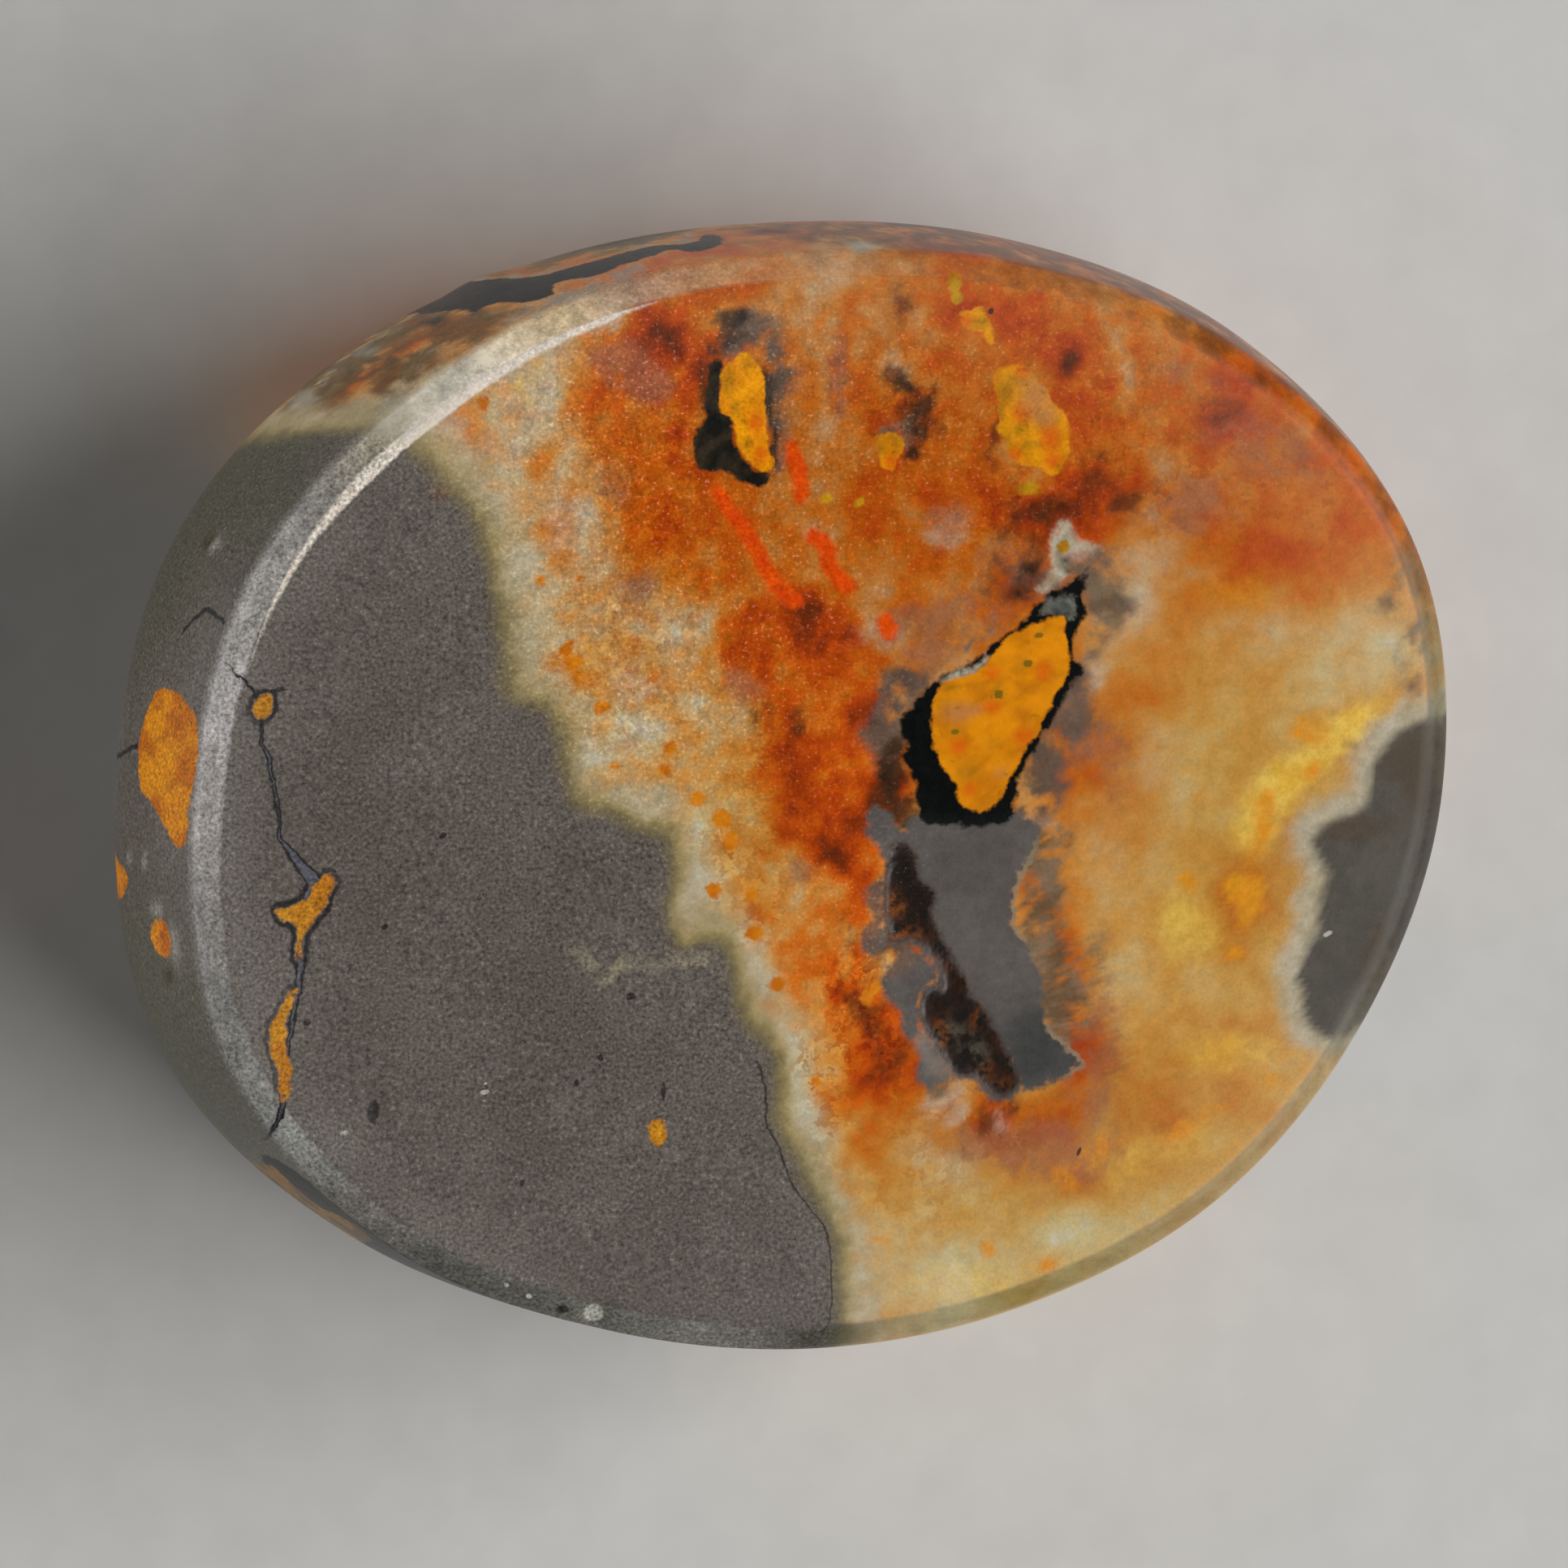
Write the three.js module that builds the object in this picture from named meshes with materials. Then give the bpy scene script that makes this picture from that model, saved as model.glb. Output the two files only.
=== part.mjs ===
// A palm stone of bumblebee jasper: an oval slab, cut from one piece of rock and polished by hand.
// Its upper face is lapped almost flat, a narrow bevel runs round it, the side swells like a barrel,
// and the lower face is flat, so that the stone rests on it.
// Millimetres, +Z up. +X runs along the long axis. The origin is the middle of the resting face.
import * as THREE from "three";

// Driving sizes.
const THICKNESS = 20; // from the resting face to the middle of the upper face
const DOME = 0.5; // how much the upper face falls from its middle to its bevel
const BEVEL_WIDTH = 1.2; // measured across the face
const UPPER_BEVEL_DROP = 0.8;
const LOWER_BEVEL_RISE = 1.0;
const BEVEL_ROUNDING = 0.12; // how far the middle of the bevel stands out from a straight cut

// The plan, read counter-clockwise from +X at even steps. Each entry is the radius of the rim,
// where bevel and side meet, and how far the side swells out beyond that rim at half height.
const PLAN = [
  { rim: 28.4, swell: 1.3 },
  { rim: 29.1, swell: 1.2 },
  { rim: 27.3, swell: 1.4 },
  { rim: 25.1, swell: 1.3 },
  { rim: 23.9, swell: 1.2 },
  { rim: 24.3, swell: 1.3 },
  { rim: 25.3, swell: 2.1 },
  { rim: 26.9, swell: 2.4 },
  { rim: 27.6, swell: 2.2 },
  { rim: 28.4, swell: 1.8 },
  { rim: 27.1, swell: 0.9 },
  { rim: 25.1, swell: 0.4 },
  { rim: 24.3, swell: 0.9 },
  { rim: 24.5, swell: 1.3 },
  { rim: 25.7, swell: 1.3 },
  { rim: 26.9, swell: 1.3 },
];

// A flat ground on the side, and the low ridge that is left standing at its left end.
const FLAT_DIRECTION = 109; // degrees counter-clockwise from +X
const FLAT_DISTANCE = 25.7; // from the upright axis through the origin
const RIDGE_DIRECTION = 120.5;
const RIDGE_HALF_WIDTH = 4; // degrees
const RIDGE_HEIGHT = 0.25;
const RIDGE_FADE = 0.25; // share of the side's height in which the ridge rises and falls

// How finely the surface is divided.
const STEPS_ROUND = 120;
const FACE_RINGS = 6;
const BEVEL_RINGS = 3;
const SIDE_RINGS = 10;
const BASE_RINGS = 2;

// A closed smooth curve through the plan's entries: its point at a share of a turn holds
// the rim's radius and the swell there.
const planCurve = new THREE.CatmullRomCurve3(
  PLAN.map(({ rim, swell }) => new THREE.Vector3(rim, swell, 0)),
  true,
  "catmullrom",
  0.5,
);

function planAt(azimuth) {
  const turn = THREE.MathUtils.euclideanModulo(azimuth / (2 * Math.PI), 1);
  const { x: rim, y: swell } = planCurve.getPoint(turn);
  return { rim, swell };
}

// The ridge at the end of the flat: a straight-sided crest, low near the rims.
function ridgeAt(azimuth, depth) {
  const away = Math.abs(THREE.MathUtils.radToDeg(azimuth) - RIDGE_DIRECTION);
  const crest = Math.max(0, 1 - away / RIDGE_HALF_WIDTH);
  const rise = THREE.MathUtils.clamp((depth - RIDGE_FADE) / RIDGE_FADE, 0, 1);
  const fall = THREE.MathUtils.clamp((1 - depth) / RIDGE_FADE, 0, 1);
  return RIDGE_HEIGHT * crest * rise * fall;
}

// The side's radius, at a depth of 0 at the upper rim and 1 at the lower one.
function sideRadius(azimuth, depth) {
  const { rim, swell } = planAt(azimuth);
  const barrel = rim + 4 * swell * depth * (1 - depth);
  const towardsFlat = Math.cos(azimuth - THREE.MathUtils.degToRad(FLAT_DIRECTION));
  const flat = towardsFlat > 0.5 ? FLAT_DISTANCE / towardsFlat : Infinity;
  return Math.min(barrel, flat) + ridgeAt(azimuth, depth);
}

// The rings of the section, from the middle of the base up the side to the middle of the face.
// Each gives its height and, for a direction, its radius.
function baseRing(share) {
  return { height: 0, radius: (a) => share * (sideRadius(a, 1) - BEVEL_WIDTH) };
}

function lowerBevelRing(share) {
  const out = BEVEL_ROUNDING * Math.sin(Math.PI * share);
  return {
    height: LOWER_BEVEL_RISE * share - out,
    radius: (a) => sideRadius(a, 1) - BEVEL_WIDTH * (1 - share) + out,
  };
}

function sideRing(depth) {
  const top = THICKNESS - DOME - UPPER_BEVEL_DROP;
  return {
    height: THREE.MathUtils.lerp(top, LOWER_BEVEL_RISE, depth),
    radius: (a) => sideRadius(a, depth),
  };
}

function upperBevelRing(share) {
  const out = BEVEL_ROUNDING * Math.sin(Math.PI * share);
  return {
    height: THICKNESS - DOME - UPPER_BEVEL_DROP * (1 - share) + out,
    radius: (a) => sideRadius(a, 0) - BEVEL_WIDTH * share + out,
  };
}

function faceRing(share) {
  return {
    height: THICKNESS - DOME * share * share,
    radius: (a) => share * (sideRadius(a, 0) - BEVEL_WIDTH),
  };
}

// Shares from 0 up to 1 in even steps, both ends included.
function shares(steps) {
  return Array.from({ length: steps + 1 }, (_, i) => i / steps);
}

const sectionRings = [
  ...shares(BASE_RINGS).map(baseRing),
  ...shares(BEVEL_RINGS).slice(1).map(lowerBevelRing),
  ...shares(SIDE_RINGS).slice(1).map((rise) => sideRing(1 - rise)),
  ...shares(BEVEL_RINGS).slice(1).map(upperBevelRing),
  ...shares(FACE_RINGS).slice(0, -1).reverse().map(faceRing),
];

// The section is turned into a round body, and each of its points is then moved out or in
// to the radius that the stone has in that direction.
function stoneGeometry() {
  const section = sectionRings.map(
    (ring) => new THREE.Vector2(ring.radius(0), ring.height),
  );
  const geometry = new THREE.LatheGeometry(section, STEPS_ROUND);
  geometry.rotateX(Math.PI / 2);
  const position = geometry.getAttribute("position");
  for (let i = 0; i < position.count; i += 1) {
    const step = Math.floor(i / section.length) % STEPS_ROUND;
    const azimuth = (step / STEPS_ROUND) * 2 * Math.PI;
    const ring = sectionRings[i % section.length];
    const radius = ring.radius(azimuth);
    position.setXY(i, radius * Math.cos(azimuth), radius * Math.sin(azimuth));
  }
  geometry.computeVertexNormals();
  return geometry;
}

const polishedJasper = new THREE.MeshStandardMaterial({
  color: new THREE.Color(0.42, 0.33, 0.25),
  roughness: 0.28,
  metalness: 0,
});

const palmStone = new THREE.Mesh(stoneGeometry(), polishedJasper);
palmStone.name = "palm_stone";

const group = new THREE.Group();
group.add(palmStone);

export default group;
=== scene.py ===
# A palm stone of bumblebee jasper: one thick oval slab that fills the palm, with a barrelled side, a narrow
# bevel at both rims and a hand polish. It lies flat on a pale studio floor and is seen from above.
import itertools

import bpy
import numpy as np
from mathutils import Matrix, Vector


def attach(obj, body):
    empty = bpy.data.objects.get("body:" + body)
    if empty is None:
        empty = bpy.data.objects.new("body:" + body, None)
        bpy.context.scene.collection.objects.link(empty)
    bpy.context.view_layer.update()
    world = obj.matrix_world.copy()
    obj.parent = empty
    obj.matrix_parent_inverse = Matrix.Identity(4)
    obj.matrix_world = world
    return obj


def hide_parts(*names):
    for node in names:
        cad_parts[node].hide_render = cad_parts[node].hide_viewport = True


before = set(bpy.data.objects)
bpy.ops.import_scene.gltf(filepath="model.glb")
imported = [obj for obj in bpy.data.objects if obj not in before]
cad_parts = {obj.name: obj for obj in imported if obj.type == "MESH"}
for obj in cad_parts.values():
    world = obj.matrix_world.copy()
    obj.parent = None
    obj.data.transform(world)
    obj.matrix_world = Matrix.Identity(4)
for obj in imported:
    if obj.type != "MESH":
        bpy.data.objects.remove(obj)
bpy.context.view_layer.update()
MM = 0.001

# The cut form
# The real stone is a single piece of rock, sawn to a slab, ground to an oval with a side that swells like a
# barrel, bevelled at both rims and polished. The upper face is very slightly domed and the base is flat.
THICKNESS = 20.0
FACE_DOME = 0.5
BEVEL_WIDTH = 1.2
UPPER_BEVEL_DROP = 0.8
LOWER_BEVEL_RISE = 1.0
BEVEL_ROUNDING = 0.05
# Radii of the upper rim, and how far the side swells beyond it, at 16 even steps round from the east.
RIM_RADII = (28.4, 29.1, 27.3, 25.1, 23.9, 24.3, 25.3, 26.9, 27.6, 28.4, 27.1, 25.1, 24.3, 24.5, 25.7, 26.9)
SIDE_SWELL = (1.3, 1.2, 1.4, 1.3, 1.2, 1.3, 2.1, 2.4, 2.2, 1.8, 0.9, 0.4, 0.9, 1.3, 1.3, 1.3)
FLAT_AZIMUTH = np.radians(109)
FLAT_DISTANCE = 25.7
RIDGE_AZIMUTH = 120.5
RIDGE_HALF_WIDTH = 4.0
RIDGE_HEIGHT = 0.25
UPPER_RIM_HEIGHT = THICKNESS - FACE_DOME - UPPER_BEVEL_DROP
FACE_STEPS = 172
BEVEL_STEPS = 7
SIDE_STEPS = 38


def round_the_plan(values, azimuth):
    """Value at each azimuth on a smooth closed curve through values spaced evenly round the plan."""
    values = np.array(values)
    step = azimuth / (2 * np.pi) * len(values)
    first = np.floor(step).astype(int)
    t = step - first
    a, b, c, d = (values[(first + k) % len(values)] for k in (-1, 0, 1, 2))
    return 0.5 * (2 * b + (c - a) * t + (2 * a - 5 * b + 4 * c - d) * t**2 + (3 * b - a - 3 * c + d) * t**3)


def side_radius(azimuth, depth):
    """Radius of the side, depth 0 at the upper rim and 1 at the lower: rim radius plus a parabola of swell,
    cut back by one straight ground flat and raised again along one low ridge beside it."""
    swell = 4 * round_the_plan(SIDE_SWELL, azimuth) * depth * (1 - depth)
    radius = round_the_plan(RIM_RADII, azimuth) + swell
    facing = np.cos(azimuth - FLAT_AZIMUTH)
    radius = np.minimum(radius, np.where(facing > 0.5, FLAT_DISTANCE / np.maximum(facing, 0.5), np.inf))
    beside = (np.degrees(azimuth) - RIDGE_AZIMUTH + 180) % 360 - 180
    crest = np.clip(1 - np.abs(beside) / RIDGE_HALF_WIDTH, 0, 1)
    return radius + RIDGE_HEIGHT * crest * np.clip(4 * depth - 1, 0, 1) * np.clip(4 - 4 * depth, 0, 1)


def square_to_disc(steps):
    """A square grid pressed into a unit disc: each square ring of the grid becomes one circle."""
    line = np.linspace(-1, 1, steps + 1)
    east, north = np.meshgrid(line, line)
    wide = np.abs(east) >= np.abs(north)
    radius = np.where(wide, east, north)
    part = np.where(wide, north, east) / np.where(radius == 0, 1, radius) * np.pi / 4
    turn = np.where(wide, part, np.pi / 2 - part)
    return radius * np.cos(turn), radius * np.sin(turn)


LATTICE_CELLS = 64
LATTICE_TURN = np.array(Matrix.Rotation(0.7, 3, Vector((1, 2, 3)).normalized()))


def drift(place, size, seed):
    """Smooth random drift from about -1 to 1: random numbers on a turned cubic lattice, blended in
    between. Cells are size mm wide."""
    lattice = np.random.default_rng(seed).uniform(-1, 1, (LATTICE_CELLS,) * 3)
    cell = place @ LATTICE_TURN / size + LATTICE_CELLS / 2
    first = np.floor(cell).astype(int)
    t = cell - first
    t = t * t * (3 - 2 * t)
    total = np.zeros(len(place))
    for corner in np.ndindex(2, 2, 2):
        weight = np.prod(np.where(corner, t, 1 - t), axis=1)
        total += weight * lattice[tuple(((first + corner) % LATTICE_CELLS).T)]
    return total


disc_east, disc_north = square_to_disc(FACE_STEPS)
disc_share = np.hypot(disc_east, disc_north)
disc_azimuth = np.arctan2(disc_north, disc_east)
ring_count = 4 * FACE_STEPS
ring_azimuth = np.radians(-45 + 360 * np.arange(ring_count) / ring_count)


def face_points(radius, height):
    """The disc's grid stretched to a face, with that radius at each azimuth and that height at each
    point."""
    height = height + 0 * disc_east
    return np.stack([radius * disc_east, radius * disc_north, height], -1).reshape(-1, 3)


def ring_points(radius, height):
    """One ring of points round the stone."""
    height = height + 0 * radius
    return np.stack([radius * np.cos(ring_azimuth), radius * np.sin(ring_azimuth), height], -1)


def bevel_ring(rim_depth, rim_height, share, rise):
    """One ring of a bevel, a share of the way in from its rim, bulging a little outwards between its
    edges."""
    out = BEVEL_ROUNDING * np.sin(np.pi * share)
    radius = side_radius(ring_azimuth, rim_depth) - BEVEL_WIDTH * share + out
    return ring_points(radius, rim_height + rise * share + np.sign(rise) * out)


upper_height = THICKNESS - FACE_DOME * disc_share**2
upper_face = face_points(side_radius(disc_azimuth, 0) - BEVEL_WIDTH, upper_height)
base_face = face_points(side_radius(disc_azimuth, 1) - BEVEL_WIDTH, 0)
shares_in = np.arange(1, BEVEL_STEPS) / BEVEL_STEPS
side_rings = [bevel_ring(0, UPPER_RIM_HEIGHT, share, UPPER_BEVEL_DROP) for share in shares_in[::-1]]
for share in np.linspace(0, 1, SIDE_STEPS + 1):
    rim_gap = LOWER_BEVEL_RISE - UPPER_RIM_HEIGHT
    side_rings.append(ring_points(side_radius(ring_azimuth, share), UPPER_RIM_HEIGHT + rim_gap * share))
side_rings += [bevel_ring(1, LOWER_BEVEL_RISE, share, -LOWER_BEVEL_RISE) for share in shares_in]
points = np.concatenate([upper_face, *side_rings, base_face])

upper_index = np.arange(len(upper_face)).reshape(disc_east.shape)
side_index = len(upper_face) + np.arange(len(side_rings) * ring_count).reshape(-1, ring_count)
base_index = len(points) - len(base_face) + upper_index


def rim_of(index):
    """The outermost points of a face's grid in order round the stone, from azimuth -45 degrees."""
    return np.concatenate([index[:-1, -1], index[-1, :0:-1], index[:0:-1, 0], index[0, :-1]])


def quads(*corners):
    """Four arrays of corner numbers joined into one list of four-sided faces."""
    return np.stack(corners, -1).reshape(-1, 4)


rings = np.concatenate([rim_of(upper_index)[None], side_index, rim_of(base_index)[None]])
next_ring_point = np.roll(rings, -1, axis=1)
faces = np.concatenate([
    quads(upper_index[:-1, :-1], upper_index[:-1, 1:], upper_index[1:, 1:], upper_index[1:, :-1]),
    quads(rings[:-1], rings[1:], next_ring_point[1:], next_ring_point[:-1]),
    quads(base_index[:-1, :-1], base_index[1:, :-1], base_index[1:, 1:], base_index[:-1, 1:]),
])

# How the pattern lies in the rock
# The colours run through the rock as leaning sheets, so a mark on the face carries on down the side and
# comes out on the base a little to the south-west, and the sheets bend more the deeper they go.
SHEET_LEAN = (0.12, 0.28)
SHEET_BEND = 2.5
SHEET_BEND_SIZE = 9.0
BEND_SEEDS = (11, 12)
FIRST_CLOUD_SEED = 21
OCTAVE_FADE = 0.7
STAIN_WANDER = 0.45
STAIN_WANDER_SIZE = 1.8
FACE_MARK_DEPTH = 0.2 * THICKNESS
BASE_MARK_HEIGHT = 0.5 * LOWER_BEVEL_RISE
ARC_STEP = 0.48
FAR = 1000.0

depth = THICKNESS - points[:, 2]
bend = np.stack([drift(points, SHEET_BEND_SIZE, seed) for seed in BEND_SEEDS], -1)
bend *= (SHEET_BEND * depth / THICKNESS)[:, None]
lay = points[:, :2] + np.outer(depth, SHEET_LEAN) + bend
azimuth = np.degrees(np.arctan2(points[:, 1], points[:, 0])) % 360
on_side = np.isin(np.arange(len(points)), side_index)
around = np.where(on_side[:, None], np.stack([azimuth * ARC_STEP, points[:, 2]], -1), FAR)
above = np.where(depth[:, None] < FACE_MARK_DEPTH, points[:, :2], FAR)
below = np.where(points[:, 2:] < BASE_MARK_HEIGHT, points[:, :2], FAR)
cloud_seeds = itertools.count(FIRST_CLOUD_SEED)


def clouds(size, octaves=3, place=points):
    """Clouds of a seed of their own, seldom beyond -1 to 1: drifts of halving size and fading
    strength."""
    strengths = OCTAVE_FADE ** np.arange(octaves)
    sizes = size * 0.5 ** np.arange(octaves)
    layers = [strength * drift(place, width, next(cloud_seeds)) for strength, width in zip(strengths, sizes)]
    return np.sum(layers, axis=0) / np.sqrt((strengths**2).sum())


wander = np.stack([clouds(STAIN_WANDER_SIZE), clouds(STAIN_WANDER_SIZE)], -1)
wavering = lay + STAIN_WANDER * wander


def closed_outline(knots, steps=4):
    """A smooth closed line through given points, with a few short steps from each to the next: each stretch
    is a cubic through the two points before and after it."""
    b = np.array(knots, float)
    a, c, d = np.roll(b, 1, 0), np.roll(b, -1, 0), np.roll(b, -2, 0)
    t = (np.arange(steps) / steps)[:, None, None]
    line = 2 * b + (c - a) * t + (2 * a - 5 * b + 4 * c - d) * t**2 + (3 * b - a - 3 * c + d) * t**3
    return 0.5 * line.transpose(1, 0, 2).reshape(-1, 2)


def distance_to(line, place, reach=4.0, closed=False):
    """Distance in mm from each place to a line of points, never over reach. Inside a closed line it is
    negative: a place is inside where a ray towards the east crosses the line an odd number of times."""
    away = np.full(len(place), reach)
    in_reach = (place > line.min(0) - reach) & (place < line.max(0) + reach)
    near = np.flatnonzero(in_reach.all(axis=1))
    spots = place[near]
    least = np.full(len(near), reach**2)
    inside = np.zeros(len(near), bool)
    for start, end in zip(line, np.roll(line, -1, 0) if closed else line[1:]):
        along = end - start
        offset = spots - start
        share = np.clip(offset @ along / (along @ along), 0, 1)
        least = np.minimum(least, ((offset - share[:, None] * along) ** 2).sum(1))
        crossed = (offset[:, 1] < 0) != (spots[:, 1] < end[1])
        inside ^= closed & crossed & (offset[:, 0] < along[0] * offset[:, 1] / (along[1] or 1.0))
    away[near] = np.where(inside, -1, 1) * np.sqrt(least)
    return away


def inside_distance(knots, place=lay):
    """Signed distance to the smooth closed outline through knots."""
    return distance_to(closed_outline(knots), place, closed=True)


def oval(place, x, y, length, width, turn=0.0, strength=1.0):
    """A soft oval stain: full in its middle, half gone at its edge. Length and width are its half
    axes."""
    c, s = np.cos(np.radians(turn)), np.sin(np.radians(turn))
    beside, above = place[:, 0] - x, place[:, 1] - y
    q = ((beside * c + above * s) / length) ** 2 + ((above * c - beside * s) / width) ** 2
    return strength * np.exp2(-(q**1.5))


def stain(rows, place=wavering):
    """Oval stains laid over each other: what stays clear is the product of what each leaves clear."""
    clear = np.ones(len(place))
    for row in rows:
        clear *= 1 - oval(place, *row)
    return 1 - clear


# The skin as a mesh
# One closed skin: both faces, both bevels and the side share their edge points. The open crevice, a pit and
# a chip at the rim are sunk a little, and hand polishing leaves the face very slightly uneven.
CREVICE = (
    (3.2, -1.9), (3.7, -2.2), (4, -3), (4.1, -3.6), (4.8, -4.1), (4.6, -4.8), (4.8, -5.5), (5.1, -6.2),
    (5.6, -7), (6.1, -7.8), (6.4, -8.6), (7, -9.3), (7.6, -10.3), (8.1, -11.2), (8.5, -12), (8.6, -12.8),
    (8, -13.1), (7.4, -12.9), (6.7, -12.2), (6, -12.1), (5.6, -11.8), (5.3, -11.2), (4.9, -10.6),
    (4.5, -10), (4.3, -9.3), (4.4, -8.7), (4.7, -8.4), (5.3, -8.4), (5.2, -7.4), (4.8, -6.8), (4.3, -6.3),
    (3.6, -6.1), (2.9, -6.1), (2.9, -5.6), (2.7, -5), (2.7, -4), (2.8, -3), (2.9, -2.2))
CREVICE_DEPTH = 0.15
CREVICE_LIP = 0.4
# A pit and a chip: their place to the east and north, two half axes and a turn in degrees.
PIT = (-19.9, -13.1, 0.6, 0.3, 105)
PIT_DEPTH = 0.12
CHIP = (-10.2, -22.4, 0.6, 0.5, 20)
CHIP_DEPTH = 0.25
POLISH_WAVE = 0.02
POLISH_WAVE_SIZE = 8.0
POLISH_WAVE_SEED = 13
MARK_FADE = 0.3

crevice_distance = inside_distance(CREVICE) + MARK_FADE * depth
sunk = CREVICE_DEPTH * np.clip(-crevice_distance / CREVICE_LIP, 0, 1)
sunk += PIT_DEPTH * oval(points, *PIT) + CHIP_DEPTH * oval(points, *CHIP)
sunk += POLISH_WAVE * drift(points, POLISH_WAVE_SIZE, POLISH_WAVE_SEED) * (depth < FACE_DOME)
skin = points.copy()
skin[:, 2] -= sunk * (depth < 0.5 * THICKNESS)
mesh = bpy.data.meshes.new("jasper_stone")
mesh.from_pydata((skin * MM).tolist(), [], faces.tolist())
mesh.shade_smooth()
stone = bpy.data.objects.new("jasper_stone", mesh)
bpy.context.scene.collection.objects.link(stone)
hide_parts("palm_stone")
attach(stone, "root")

# Calcite ground
# The rock is a sugary calcite with iron in it: white and cream where it is clean, then peach, salmon,
# orange, red and umber the more iron there is, and more golden towards the right. The ground is worked out
# twice at each point of the skin, between the crystals and on them, and the material picks one or the other.

# Colour scales: an amount of iron, then the colour it gives, as a screen shows it, 0 to 255.
IRON_COLOURS = (
    (0.0, 216, 204, 176), (0.12, 206, 182, 136), (0.26, 216, 164, 104), (0.4, 218, 148, 70),
    (0.54, 216, 126, 42), (0.68, 216, 106, 16), (0.82, 212, 88, 4), (0.96, 190, 66, 1), (1.2, 118, 44, 5),
    (1.5, 62, 30, 8))
GOLDEN_COLOURS = (
    (0.0, 208, 200, 172), (0.12, 202, 182, 126), (0.26, 204, 168, 98), (0.4, 202, 154, 72),
    (0.54, 196, 140, 56), (0.68, 190, 118, 32), (0.82, 184, 90, 8), (0.96, 172, 66, 2), (1.2, 112, 46, 5),
    (1.5, 62, 30, 8))
PINK_COLOURS = (
    (0.0, 204, 184, 154), (0.12, 202, 166, 126), (0.26, 198, 142, 92), (0.4, 197, 124, 54),
    (0.54, 196, 108, 26), (0.68, 194, 94, 6), (0.82, 188, 78, 2), (0.96, 178, 62, 1), (1.2, 112, 42, 5),
    (1.5, 62, 30, 8))
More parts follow.
